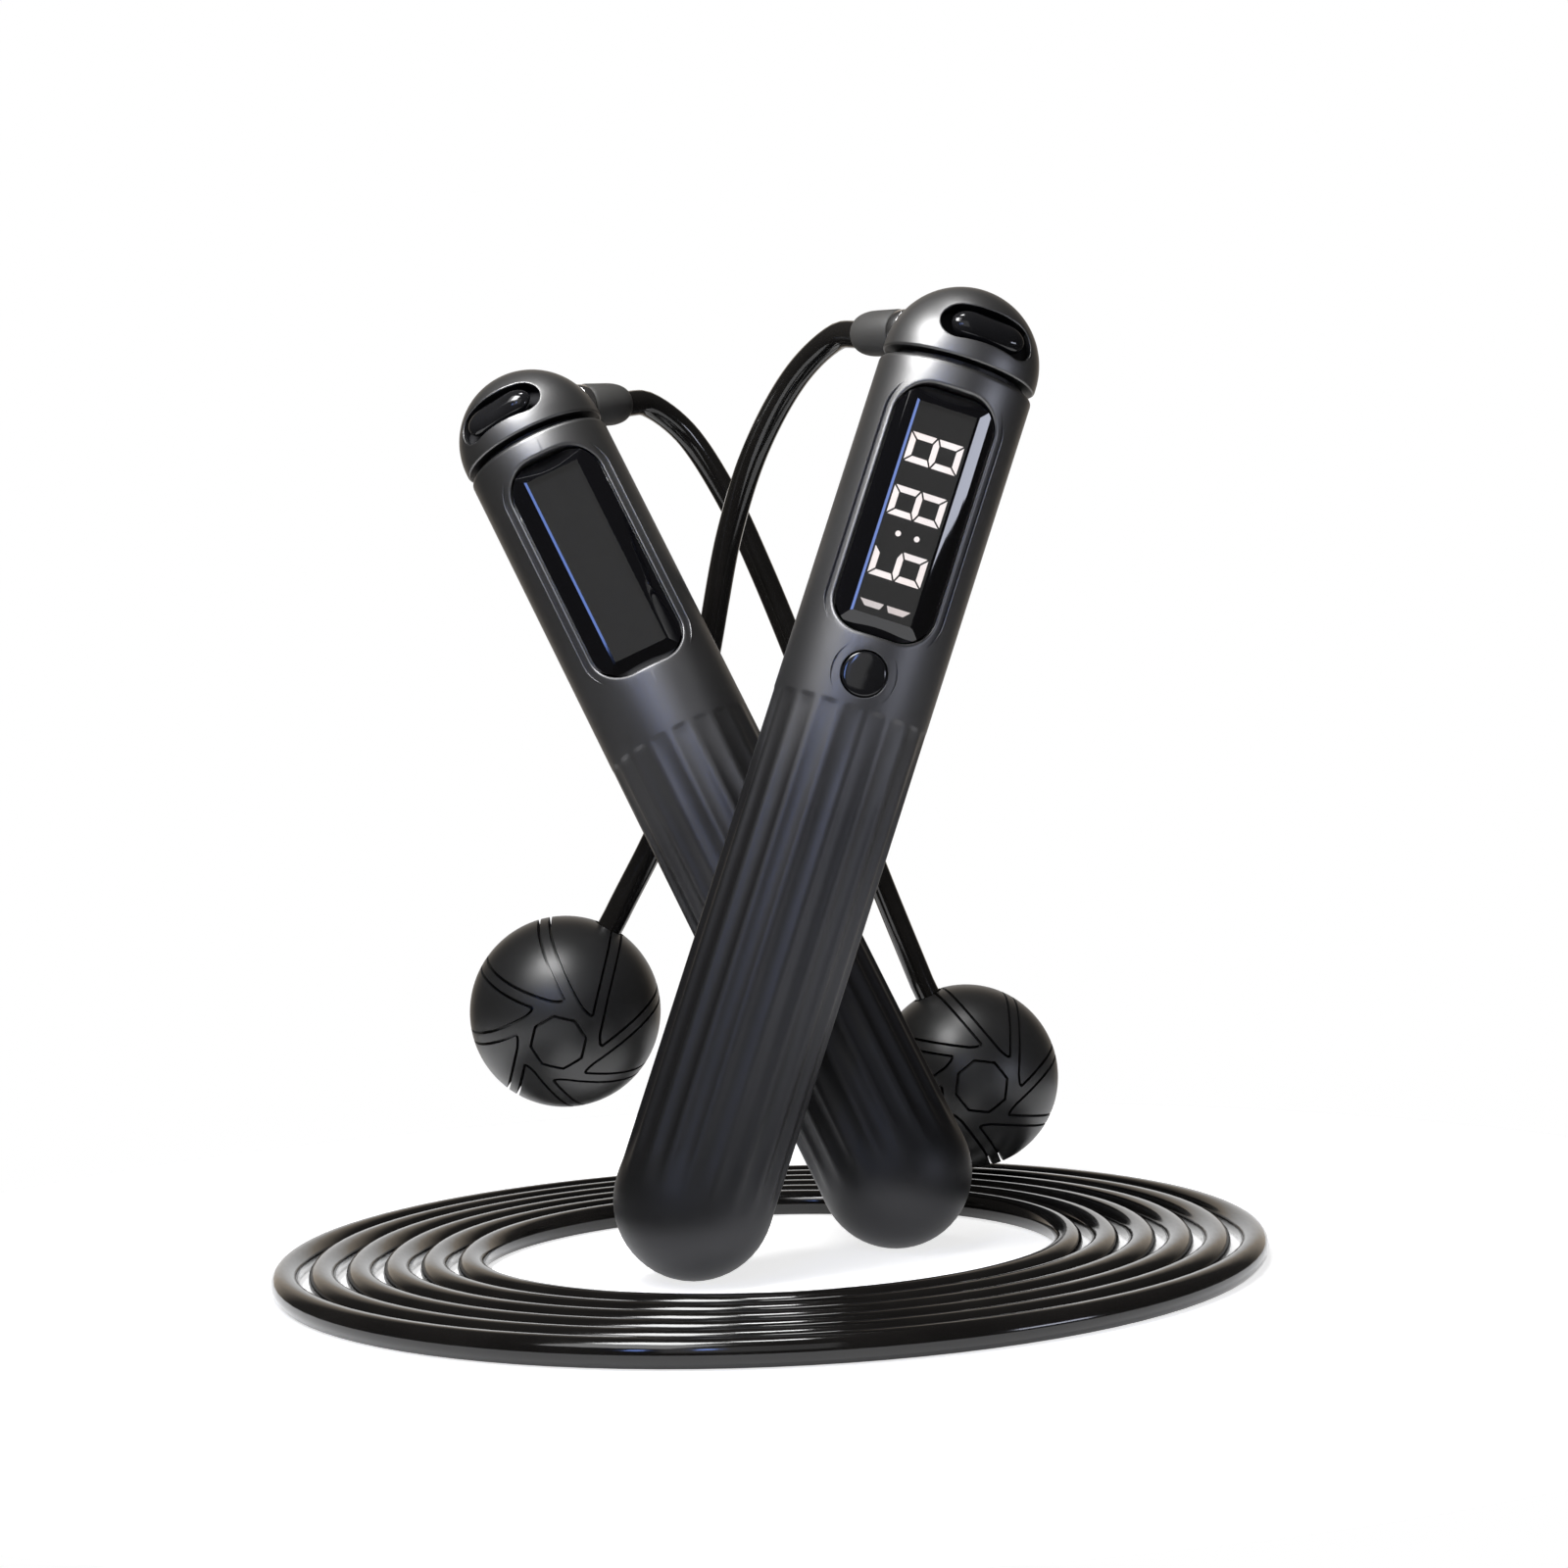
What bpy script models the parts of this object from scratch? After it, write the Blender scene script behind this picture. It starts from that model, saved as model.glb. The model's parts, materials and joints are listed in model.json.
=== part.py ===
"""Cordless jump rope set: two crossed handles with turning heads, a weighted ball on a short cord
for each head, and a long rope coiled flat around the handles' feet.

Units are metres, +Z is up, -Y faces the viewer. The origin is on the surface that the set stands on,
under the middle of the two handles.
"""

import math

import bmesh
import bpy
import numpy as np
from mathutils import Matrix, Vector

MM = 0.001

# Gap kept between pieces that touch
GAP = 0.3 * MM

# Handle: heights run up its axis from the tip of its round foot
HANDLE_LENGTH = 162 * MM
HANDLE_RADIUS = 12.5 * MM
BORE_RADIUS = 10.9 * MM
BORE_FLOOR = 13 * MM
RIM_HEIGHT = 147.4 * MM
RIM_CHAMFER = 0.5 * MM
EQUATOR = HANDLE_LENGTH - HANDLE_RADIUS
GROOVE_TOP = 148.5 * MM
SHELL_STEPS = 40

# Grip flutes
FLUTES = 20
FLUTE_DEPTH = 0.5 * MM
FLUTE_RADIUS = 3.2 * MM
FLUTE_BOTTOM = 11.5 * MM
FLUTE_TOP = 92.5 * MM
FLUTE_FADE = 7 * MM

# Window in the shell and the lens that fills it
WINDOW_HEIGHT = 123.35 * MM
LENS_WIDTH = 15.6 * MM
LENS_LENGTH = 39.4 * MM
LENS_CORNER = 5 * MM
LENS_BACK = 8.4 * MM
LENS_EDGE = 9.5 * MM
LENS_FACE = 11.2 * MM
LENS_FACET = 2.5 * MM
WINDOW_CLEAR = 0.3 * MM
WINDOW_SLOPE_START = 8.3 * MM
WINDOW_SLOPE = 0.3

# Display digits: each is drawn across the handle, and the row reads up the handle
DIGIT_TALL = 7.55 * MM
DIGIT_WIDE = 3.75 * MM
DIGIT_PITCH = 8.65 * MM
COLON_PITCH = 4.9 * MM
DIGITS_DROP = 3.45 * MM
SEGMENT_WIDTH = 1.25 * MM
SEGMENT_GAP = 0.25 * MM
SEGMENT_RISE = 0.2 * MM
DOT_SIZE = 0.85 * MM
SHOWN = "16:88"
SEGMENTS_LIT = {"1": "bc", "6": "acdefg", "8": "abcdefg"}

# Display module, circuit board and what sits on it
PANEL_WIDTH = 13.0 * MM
PANEL_LENGTH = 36.5 * MM
PANEL_BACK = 6.35 * MM
PANEL_FACE = 7.9 * MM
BOARD_WIDTH = 14 * MM
BOARD_BACK = 3.4 * MM
BOARD_FACE = 4.6 * MM
BOARD_BOTTOM = 76 * MM
BOARD_TOP = 133 * MM
SWITCH_SIZE = 6 * MM
SWITCH_TOP = 6.9 * MM
SWITCH_WELL = 5.2 * MM

# Power button
BUTTON_HEIGHT = 97.3 * MM
BUTTON_RADIUS = 3.4 * MM
BUTTON_FACE = 12.3 * MM
BUTTON_FLANGE_RADIUS = 4.4 * MM
BUTTON_FLANGE_FACE = 9.5 * MM
BUTTON_FLANGE_BACK = 8.9 * MM
BUTTON_STEM_RADIUS = 1.2 * MM
BUTTON_STEM_END = 8.0 * MM
PLUNGER_RADIUS = 1.0 * MM
PLUNGER_END = 6.0 * MM

# Inner frame and the cell or weight that lies on it
FRAME_HALF_WIDTH = 7.4 * MM
FRAME_BACK = -7.6 * MM
FRAME_FACE = -5.0 * MM
FRAME_BOTTOM = 16 * MM
FRAME_TOP = 131 * MM
POST_HEIGHTS = (80 * MM, 120 * MM)
POST_SIZE = 6 * MM
CELL_RADIUS = 7 * MM
CELL_OFFSET = 2.3 * MM
CELL_BOTTOM = 20 * MM
CELL_TOP = 69 * MM

# Neck ring, bearing and axle
NECK_TOP = GROOVE_TOP - GAP
NECK_FLANGE_BOTTOM = 144 * MM
NOSE_RADIUS = 6.05 * MM
NOSE_BOTTOM = 135 * MM
BEARING_TOP = 141 * MM
BEARING_BOTTOM = 137 * MM
RACE_OUTER = (5.0 * MM, 4.35 * MM)
RACE_INNER = (2.25 * MM, 1.75 * MM)
BALLS_IN_CAGE = 6
CAGE_RADIUS = 3.3 * MM
BEARING_BALL_RADIUS = 0.75 * MM
CAGE_WIRE = 0.35 * MM
AXLE_RADIUS = 1.45 * MM
AXLE_BOTTOM = 133.5 * MM
AXLE_TOP = 150.3 * MM
BOSS_RADIUS = 3.2 * MM
MAGNET_RADIUS = 3.0 * MM
MAGNET_BOTTOM = 131 * MM

# Head: the cord runs through the dome beside its axis, on a line that tips down towards the collar.
# Distances along that line start where it is nearest the axis.
CORD_RADIUS = 2.25 * MM
CORD_LINE_OFFSET = 4.8 * MM
CORD_LINE_RISE = 4.4 * MM
CORD_LINE_TIP = math.atan(0.08)
COLLAR_RADIUS = 3.5 * MM
COLLAR_BORE = CORD_RADIUS + GAP
COLLAR_START = 10.7 * MM
COLLAR_END = 20.2 * MM
COLLAR_ROUND = 0.6 * MM
COLLAR_RING_RADIUS = 3.6 * MM
COLLAR_RING_START = 8.5 * MM
SEAT_RADIUS = COLLAR_RING_RADIUS + GAP
CORD_START = 11.2 * MM
STEM_RADIUS = 1.6 * MM
SLOT_LENGTH = 15.4 * MM
SLOT_WIDTH = 6.4 * MM
SLOT_FLOOR = 8.0 * MM
SLOT_LATITUDE = math.radians(25.5)
SLOT_TURN = math.radians(25)
STOP_DISTANCE = 10.4 * MM
STOP_HALF = Vector((6.1, 2.45, 2.0)) * MM

# Weighted balls
BALL_RADIUS = 16.5 * MM
BALL_CAVITY = 12.5 * MM
BALL_CORE_BORE = 3.7 * MM
CRIMP_RADIUS = BALL_CORE_BORE - GAP
CRIMP_BOTTOM = -3.2 * MM
CRIMP_TOP = 3.5 * MM

# Long rope: a flat spiral, cut flat below by a tenth of its diameter
ROPE_RADIUS = 2.25 * MM
ROPE_PITCH = 5.8 * MM
ROPE_TURNS = 6
ROPE_INNER = 44.4 * MM
ROPE_POINTS_PER_TURN = 24
ROPE_FLAT = 0.2 * ROPE_RADIUS
ROPE_START = math.radians(72)
ROPE_LEAD = 0.25
ROPE_LEAD_CURL = 60 * MM
ROPE_LEAD_POINTS = 2
ROPE_STOP_RADIUS = 2.7 * MM
ROPE_STOP_LENGTH = 7 * MM

# Where things stand, seen from above, with the handles' leans to the side and to the back
COIL_CENTRE = Vector((-1.4, -8.3, 0)) * MM
HANDLES = {
    "display": {
        "foot": Vector((-11.6, -22.8, 0)) * MM,
        "lean_side": math.radians(20.0),
        "lean_back": math.radians(3.5),
        "twist": 0.0,
        "hand": 1,
        "collar_turn": math.radians(39),
    },
    "plain": {
        "foot": Vector((20.7, -1.7, 0)) * MM,
        "lean_side": math.radians(-24.5),
        "lean_back": math.radians(10.5),
        "twist": math.radians(5),
        "hand": -1,
        "collar_turn": math.radians(46),
    },
}

# Ball centres, the way their cords leave them, and the cords' routes between collar and ball
BALLS = {
    "display": {
        "centre": Vector((-34.0, 29.3, 37.7)) * MM,
        "entry": Vector((0.50, -0.02, 0.86)),
        "route": [(10.3, 10, 144.5), (3, 18.1, 133.4), (-2.4, 23.3, 119), (-8.4, 27.7, 93), (-15, 29.1, 72)],
    },
    "plain": {
        "centre": Vector((36.6, 49.6, 21.3)) * MM,
        "entry": Vector((-0.40, -0.02, 0.92)),
        "route": [(-10, 43, 139.1), (-3.1, 46.9, 128.2), (2.6, 48.7, 115), (12, 49.6, 89), (21, 49.7, 61)],
    },
}
CORD_SPACING = 10 * MM


def clear_scene():
    for obj in list(bpy.data.objects):
        bpy.data.objects.remove(obj, do_unlink=True)


def make_collection(name):
    collection = bpy.data.collections.new(name)
    bpy.context.scene.collection.children.link(collection)
    return collection


def make_material(name, colour, roughness, metallic=0.0):
    material = bpy.data.materials.new(name)
    material.use_nodes = True
    shader = material.node_tree.nodes["Principled BSDF"]
    shader.inputs["Base Color"].default_value = (*colour, 1.0)
    shader.inputs["Roughness"].default_value = roughness
    shader.inputs["Metallic"].default_value = metallic
    return material


clear_scene()
PARTS = make_collection("jump_rope_set")
CUTTERS = make_collection("cutters")

GUNMETAL = make_material("gunmetal_satin", (0.075, 0.075, 0.080), 0.38, 0.85)
LENS_BLACK = make_material("lens_black", (0.008, 0.008, 0.010), 0.05)
SOFT_BLACK = make_material("matte_black_plastic", (0.020, 0.020, 0.021), 0.55)
GLOSS_BLACK = make_material("gloss_black_plastic", (0.012, 0.012, 0.013), 0.10)
ROPE_BLACK = make_material("gloss_black_rope", (0.015, 0.013, 0.012), 0.18)
LIT_WHITE = make_material("lit_segments", (0.95, 0.93, 0.90), 0.40)
BOARD_GREEN = make_material("circuit_board", (0.020, 0.120, 0.050), 0.45)
STEEL = make_material("steel", (0.55, 0.55, 0.56), 0.25, 1.0)
CELL_BLUE = make_material("cell_wrap", (0.060, 0.110, 0.280), 0.40)


def make_empty(name, matrix, parent=None):
    empty = bpy.data.objects.new(name, None)
    PARTS.objects.link(empty)
    empty.parent = parent
    empty.matrix_local = matrix
    return empty


def place(name, mesh, material, parent):
    """A mesh as a named object, in the frame of its parent empty."""
    obj = bpy.data.objects.new(name, mesh)
    obj.parent = parent
    if material is None:
        CUTTERS.objects.link(obj)
        obj.hide_render = True
        obj.display_type = "WIRE"
    else:
        PARTS.objects.link(obj)
        mesh.materials.append(material)
    return obj


def turned(name, profile, steps, material, parent):
    """A shape turned about Z from (radius, height) points that run down its outer side."""
    mesh = bpy.data.meshes.new(name)
    bm = bmesh.new()
    verts = [bm.verts.new((radius, 0, height)) for radius, height in profile]
    for first, second in zip(verts, verts[1:]):
        bm.edges.new((first, second))
    if profile[0][0] > 0:
        bm.edges.new((verts[-1], verts[0]))
    bm.to_mesh(mesh)
    bm.free()
    obj = place(name, mesh, material, parent)
    screw = obj.modifiers.new("Turn", "SCREW")
    screw.steps = steps
    screw.render_steps = steps
    screw.use_merge_vertices = True
    screw.merge_threshold = 0.001 * MM
    screw.use_smooth_shade = True
    return obj


def ring_profile(outer, inner, top, bottom):
    return [(outer, top), (outer, bottom), (inner, bottom), (inner, top)]


def rod_profile(radius, top, bottom, chamfer=0.0):
    if not chamfer:
        return [(0, top), (radius, top), (radius, bottom), (0, bottom)]
    return [
        (0, top),
        (radius - chamfer, top),
        (radius, top - chamfer),
        (radius, bottom + chamfer),
        (radius - chamfer, bottom),
        (0, bottom),
    ]


def arc(radius, start, end, count, centre=0.0):
    """(radius, height) points on a circle about the axis, from one latitude to another."""
    angles = np.linspace(start, end, count)
    return [(radius * math.cos(a), centre + radius * math.sin(a)) for a in angles]


def box_bmesh(low, high):
    bm = bmesh.new()
    bmesh.ops.create_cube(bm, size=1.0)
    size = Vector(high) - Vector(low)
    middle = (Vector(high) + Vector(low)) / 2
    bmesh.ops.scale(bm, vec=size, verts=bm.verts)
    bmesh.ops.translate(bm, vec=middle, verts=bm.verts)
    return bm


def round_corners(bm, radius, segments):
    """Rounds the four edges of a box that run along Z."""
    upright = [e for e in bm.edges if abs(e.verts[0].co.z - e.verts[1].co.z) > abs(radius) / 10]
    bmesh.ops.bevel(bm, geom=upright, offset=radius, segments=segments, profile=0.5, affect="EDGES")


def top_face(bm):
    return max(bm.faces, key=lambda face: face.calc_center_median().z)


def finish_mesh(name, bm, material, parent):
    mesh = bpy.data.meshes.new(name)
    bmesh.ops.recalc_face_normals(bm, faces=bm.faces)
    bm.to_mesh(mesh)
    bm.free()
    mesh.shade_smooth()
    mesh.set_sharp_from_angle(angle=math.radians(35))
    return place(name, mesh, material, parent)


def box(name, low, high, material, parent, corner=0.0, segments=3):
    bm = box_bmesh(low, high)
    if corner:
        round_corners(bm, corner, segments)
    return finish_mesh(name, bm, material, parent)


def combine(target, tool, operation):
    modifier = target.modifiers.new(tool.name, "BOOLEAN")
    modifier.operation = operation
    modifier.solver = "EXACT"
    modifier.object = tool


def cut(target, *tools):
    for tool in tools:
        combine(target, tool, "DIFFERENCE")


def join(target, *tools):
    for tool in tools:
        combine(target, tool, "UNION")


# The handle's frame: Z up its axis, -Y out of its window
def handle_matrix(spec):
    axis = Vector((math.tan(spec["lean_side"]), math.tan(spec["lean_back"]), 1)).normalized()
    back = (Vector((0, 1, 0)) - axis * axis.y).normalized()
    right = back.cross(axis)
    matrix = Matrix((right, back, axis)).transposed().to_4x4()
    matrix.translation = spec["foot"] + Vector((0, 0, HANDLE_RADIUS)) - axis * HANDLE_RADIUS
    return matrix @ Matrix.Rotation(spec["twist"], 4, "Z")


# The window's frame: Z out through the window, Y up the handle
def window_matrix(height):
    return Matrix.Translation((0, 0, height)) @ Matrix.Rotation(math.pi / 2, 4, "X")


def flute_cutters(prefix, parent):
    """One long cutter with tapered ends, repeated round the grip."""
    axis_distance = HANDLE_RADIUS - FLUTE_DEPTH + FLUTE_RADIUS
    end_radius = FLUTE_RADIUS - 1.6 * FLUTE_DEPTH
    body_length = FLUTE_TOP - FLUTE_BOTTOM - 2 * FLUTE_FADE
    bm = bmesh.new()
    bmesh.ops.create_cone(
        bm, cap_ends=True, segments=12, radius1=FLUTE_RADIUS, radius2=FLUTE_RADIUS, depth=body_length
    )
    for sign in (1, -1):
        cap = max(bm.faces, key=lambda face: sign * face.calc_center_median().z)
        extruded = bmesh.ops.extrude_discrete_faces(bm, faces=[cap])["faces"][0]
        bmesh.ops.translate(bm, vec=(0, 0, sign * FLUTE_FADE), verts=extruded.verts)
        bmesh.ops.scale(
            bm, vec=(end_radius / FLUTE_RADIUS, end_radius / FLUTE_RADIUS, 1), verts=extruded.verts
        )
    bmesh.ops.translate(
        bm, vec=(0, -axis_distance, (FLUTE_TOP + FLUTE_BOTTOM) / 2), verts=bm.verts
    )
    bmesh.ops.spin(
        bm,
        geom=bm.verts[:] + bm.edges[:] + bm.faces[:],
        cent=(0, 0, 0),
        axis=(0, 0, 1),
        angle=math.tau * (FLUTES - 1) / FLUTES,
        steps=FLUTES - 1,
        use_duplicate=True,
    )
    return finish_mesh(prefix + "_flute_cutters", bm, None, parent)


def window_cutter(prefix, window):
    """A rounded slot through the shell whose walls slope outwards near the surface."""
    half_x = LENS_WIDTH / 2 + WINDOW_CLEAR
    half_y = LENS_LENGTH / 2 + WINDOW_CLEAR
    top = HANDLE_RADIUS + 2 * MM
    bm = box_bmesh((-half_x, -half_y, PANEL_BACK), (half_x, half_y, WINDOW_SLOPE_START))
    round_corners(bm, LENS_CORNER + WINDOW_CLEAR, 4)
    rise = top - WINDOW_SLOPE_START
    spread = WINDOW_SLOPE * rise
    upper = bmesh.ops.extrude_discrete_faces(bm, faces=[top_face(bm)])["faces"][0]
    bmesh.ops.translate(bm, vec=(0, 0, rise), verts=upper.verts)
    bmesh.ops.scale(
        bm, vec=((half_x + spread) / half_x, (half_y + spread) / half_y, 1), verts=upper.verts
    )
    return finish_mesh(prefix + "_window_cutter", bm, None, window)


def make_shell(prefix, frame, window, with_button):
    inner_round = 3 * MM
    profile = [(0, BORE_FLOOR), (BORE_RADIUS - inner_round, BORE_FLOOR)]
    profile += [(BORE_RADIUS, BORE_FLOOR + inner_round), (BORE_RADIUS, RIM_HEIGHT)]
    profile += [(HANDLE_RADIUS - RIM_CHAMFER, RIM_HEIGHT), (HANDLE_RADIUS, RIM_HEIGHT - RIM_CHAMFER)]
    profile += arc(HANDLE_RADIUS, 0, -math.pi / 2, 7, centre=HANDLE_RADIUS)[:-1]
    profile += [(0, 0)]
    shell = turned(prefix + "_shell", profile, SHELL_STEPS, GUNMETAL, frame)
    cut(shell, flute_cutters(prefix, frame), window_cutter(prefix, window))
    if with_button:
        hole = rod_profile(BUTTON_RADIUS + GAP, HANDLE_RADIUS + 2 * MM, BUTTON_FLANGE_BACK)
        button_axis = bpy.data.objects["power_button_axis"]
        cut(shell, turned(prefix + "_button_hole", hole, 20, None, button_axis))


def make_lens(prefix, window):
    low = (-LENS_WIDTH / 2, -LENS_LENGTH / 2, LENS_BACK)
    bm = box_bmesh(low, (LENS_WIDTH / 2, LENS_LENGTH / 2, LENS_EDGE))
    round_corners(bm, LENS_CORNER, 4)
    face = top_face(bm)
    bmesh.ops.inset_region(bm, faces=[face], thickness=LENS_FACET)
    bmesh.ops.translate(bm, vec=(0, 0, LENS_FACE - LENS_EDGE), verts=face.verts)
    finish_mesh(prefix + "_lens", bm, LENS_BLACK, window)


def add_bar(bm, start, end, point):
    """A lit segment from start to end on the panel's face, its ends pointed by that much."""
    along = Vector((*end, 0)) - Vector((*start, 0))
    half = SEGMENT_WIDTH / 2
    reach = along.length / 2 - SEGMENT_GAP
    side = reach - point
    outline = [(reach, 0), (side, half), (-side, half), (-reach, 0), (-side, -half), (side, -half)]
    sink = 0.3 * MM
    middle = (Vector((*start, 0)) + Vector((*end, 0))) / 2 + Vector((0, 0, PANEL_FACE - sink))
    turn = Matrix.Translation(middle) @ Matrix.Rotation(math.atan2(along.y, along.x), 4, "Z")
    face = bm.faces.new([bm.verts.new(turn @ Vector((x, y, 0))) for x, y in outline])
    made = bmesh.ops.extrude_face_region(bm, geom=[face], use_keep_orig=True)["geom"]
    raised = [item for item in made if isinstance(item, bmesh.types.BMVert)]
    bmesh.ops.translate(bm, vec=(0, 0, sink + SEGMENT_RISE), verts=raised)


def digit_bars(centre):
    """The seven bars of a digit that stands across the handle with its head to the left."""
    left, right = -DIGIT_TALL / 2, DIGIT_TALL / 2
    low, high = centre - DIGIT_WIDE / 2, centre + DIGIT_WIDE / 2
    return {
        "a": ((left, low), (left, high)),
        "b": ((left, high), (0, high)),
        "c": ((0, high), (right, high)),
        "d": ((right, low), (right, high)),
        "e": ((0, low), (right, low)),
        "f": ((left, low), (0, low)),
        "g": ((0, low), (0, high)),
    }


def digit_rows():
    """Each shown character with its place along the handle, a little below the window's middle."""
    steps = [COLON_PITCH if ":" in pair else DIGIT_PITCH for pair in zip(SHOWN, SHOWN[1:])]
    places = np.concatenate([[0.0], np.cumsum(steps)])
    return list(zip(SHOWN, places - places[-1] / 2 - DIGITS_DROP))


def make_display(prefix, window):
    half_x, half_y = PANEL_WIDTH / 2, PANEL_LENGTH / 2
    panel = box(
        prefix + "_led_module", (-half_x, -half_y, PANEL_BACK), (half_x, half_y, PANEL_FACE),
        LIT_WHITE, window,
    )
    leg = 4 * MM
    leg_bottom = BOARD_FACE + GAP
    join(
        panel,
        box(
            prefix + "_led_legs", (-leg, -half_y + GAP, leg_bottom),
            (leg, -half_y + 2 * leg, PANEL_BACK + GAP), None, window,
        ),
    )
    bars = bmesh.new()
    for shown, centre in digit_rows():
        if shown == ":":
            for side in (-1, 1):
                across = side * DIGIT_TALL / 5
                reach = DOT_SIZE / 2 + SEGMENT_GAP
                add_bar(bars, (across - reach, centre), (across + reach, centre), 0.0)
            continue
        spans = digit_bars(centre)
        for letter in SEGMENTS_LIT[shown]:
            add_bar(bars, *spans[letter], SEGMENT_WIDTH / 2)
    join(panel, finish_mesh(prefix + "_led_segments", bars, None, window))


def make_electronics(prefix, window):
    def up(height):
        return height - WINDOW_HEIGHT

    half = BOARD_WIDTH / 2
    box(
        prefix + "_circuit_board", (-half, up(BOARD_BOTTOM), BOARD_BACK),
        (half, up(BOARD_TOP), BOARD_FACE), BOARD_GREEN, window,
    )
    switch_half = SWITCH_SIZE / 2
    middle = up(BUTTON_HEIGHT)
    switch = box(
        prefix + "_tact_switch", (-switch_half, middle - switch_half, BOARD_FACE + GAP),
        (switch_half, middle + switch_half, SWITCH_TOP), SOFT_BLACK, window,
    )
    button_axis = bpy.data.objects["power_button_axis"]
    well = rod_profile(PLUNGER_RADIUS + GAP, SWITCH_TOP + GAP, SWITCH_WELL)
    cut(switch, turned(prefix + "_switch_well", well, 12, None, button_axis))
    box(
        prefix + "_turn_sensor", (-2 * MM, up(127 * MM), BOARD_BACK - GAP - 1.4 * MM),
        (2 * MM, up(130 * MM), BOARD_BACK - GAP), SOFT_BLACK, window,
    )


def make_button():
    axis = bpy.data.objects["power_button_axis"]
    dish = 0.25 * MM
    profile = [
        (0, BUTTON_FACE),
        (BUTTON_RADIUS - 2 * dish, BUTTON_FACE - dish),
        (BUTTON_RADIUS, BUTTON_FACE - 3 * dish),
        (BUTTON_RADIUS, BUTTON_FLANGE_FACE),
        (BUTTON_FLANGE_RADIUS, BUTTON_FLANGE_FACE),
        (BUTTON_FLANGE_RADIUS, BUTTON_FLANGE_BACK),
        (BUTTON_STEM_RADIUS, BUTTON_FLANGE_BACK),
        (BUTTON_STEM_RADIUS, BUTTON_STEM_END),
        (0, BUTTON_STEM_END),
    ]
    turned("power_button", profile, 20, GLOSS_BLACK, axis)
    plunger = rod_profile(PLUNGER_RADIUS, BUTTON_STEM_END - GAP, PLUNGER_END)
    turned("switch_plunger", plunger, 12, SOFT_BLACK, axis)


def make_inner_frame(prefix, window, post_top):
    def up(height):
        return height - WINDOW_HEIGHT

    frame = box(
        prefix + "_inner_frame", (-FRAME_HALF_WIDTH, up(FRAME_BOTTOM), FRAME_BACK),
        (FRAME_HALF_WIDTH, up(FRAME_TOP), FRAME_FACE), SOFT_BLACK, window,
    )
    half = POST_SIZE / 2
    for number, height in enumerate(POST_HEIGHTS):
        join(
            frame,
            box(
                f"{prefix}_frame_post_{number}", (-half, up(height) - half, FRAME_FACE - GAP),
                (half, up(height) + half, post_top), None, window,
            ),
        )


def make_cell(name, material, frame, nub):
    profile = rod_profile(CELL_RADIUS, CELL_TOP, CELL_BOTTOM, chamfer=0.8 * MM)
    if nub:
        nub_radius, nub_rise = 2.5 * MM, 1.2 * MM
        top = [(0, CELL_TOP + nub_rise), (nub_radius, CELL_TOP + nub_rise), (nub_radius, CELL_TOP)]
        profile = top + profile[1:]
    seat = make_empty(name + "_axis", Matrix.Translation((0, -CELL_OFFSET, 0)), frame)
    turned(name, profile, 20, material, seat)


def make_neck_and_bearing(prefix, frame):
    flange = BORE_RADIUS - GAP
    bore = RACE_OUTER[0] + GAP
    shaft_hole = BOSS_RADIUS + GAP
    shoulder = BEARING_TOP + GAP
    neck = [
        (flange, NECK_TOP),
        (flange, NECK_FLANGE_BOTTOM),
        (NOSE_RADIUS, NECK_FLANGE_BOTTOM),
        (NOSE_RADIUS, NOSE_BOTTOM),
        (bore, NOSE_BOTTOM),
        (bore, shoulder),
        (shaft_hole, shoulder),
        (shaft_hole, NECK_TOP),
    ]
    turned(prefix + "_neck_ring", neck, 24, SOFT_BLACK, frame)
    turned(
        prefix + "_bearing_outer_race", ring_profile(*RACE_OUTER, BEARING_TOP, BEARING_BOTTOM),
        20, STEEL, frame,
    )


def make_cage(prefix, pivot):
    """The bearing's balls on the wire ring that spaces them."""
    middle = (BEARING_TOP + BEARING_BOTTOM) / 2 - EQUATOR
    angles = [math.tau * (i + 0.5) / 4 for i in range(4)]
    wire = [(CAGE_RADIUS + CAGE_WIRE * math.cos(a), middle - CAGE_WIRE * math.sin(a)) for a in angles]
    cage = turned(prefix + "_bearing_balls", wire, 18, STEEL, pivot)
    bm = bmesh.new()
    for number in range(BALLS_IN_CAGE):
        angle = math.tau * number / BALLS_IN_CAGE
        spot = (CAGE_RADIUS * math.cos(angle), CAGE_RADIUS * math.sin(angle), middle)
        bmesh.ops.create_uvsphere(
            bm, u_segments=7, v_segments=5, radius=BEARING_BALL_RADIUS, matrix=Matrix.Translation(spot)
        )
    join(cage, finish_mesh(prefix + "_balls_to_join", bm, None, pivot))


def make_shaft(prefix, pivot, with_magnet):
    def up(height):
        return height - EQUATOR

    turned(
        prefix + "_bearing_inner_race",
        ring_profile(*RACE_INNER, up(BEARING_TOP), up(BEARING_BOTTOM)), 16, STEEL, pivot,
    )
    axle = rod_profile(AXLE_RADIUS, up(AXLE_TOP), up(AXLE_BOTTOM))
    turned(prefix + "_axle", axle, 14, STEEL, pivot)
    clip_top = up(BEARING_BOTTOM - GAP)
    clip = ring_profile(3.0 * MM, AXLE_RADIUS + GAP, clip_top, clip_top - 0.8 * MM)
    turned(prefix + "_axle_clip", clip, 16, STEEL, pivot)
    if with_magnet:
        magnet = rod_profile(MAGNET_RADIUS, up(AXLE_BOTTOM - GAP), up(MAGNET_BOTTOM))
        turned(prefix + "_magnet", magnet, 16, STEEL, pivot)


# The cord's line in the head's frame, where +Y points at the collar: Z runs out of the collar
def cord_line_matrix(hand):
    lift = Matrix.Translation((-hand * CORD_LINE_OFFSET, 0, CORD_LINE_RISE))
    return lift @ Matrix.Rotation(-math.pi / 2 - CORD_LINE_TIP, 4, "X")


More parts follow.
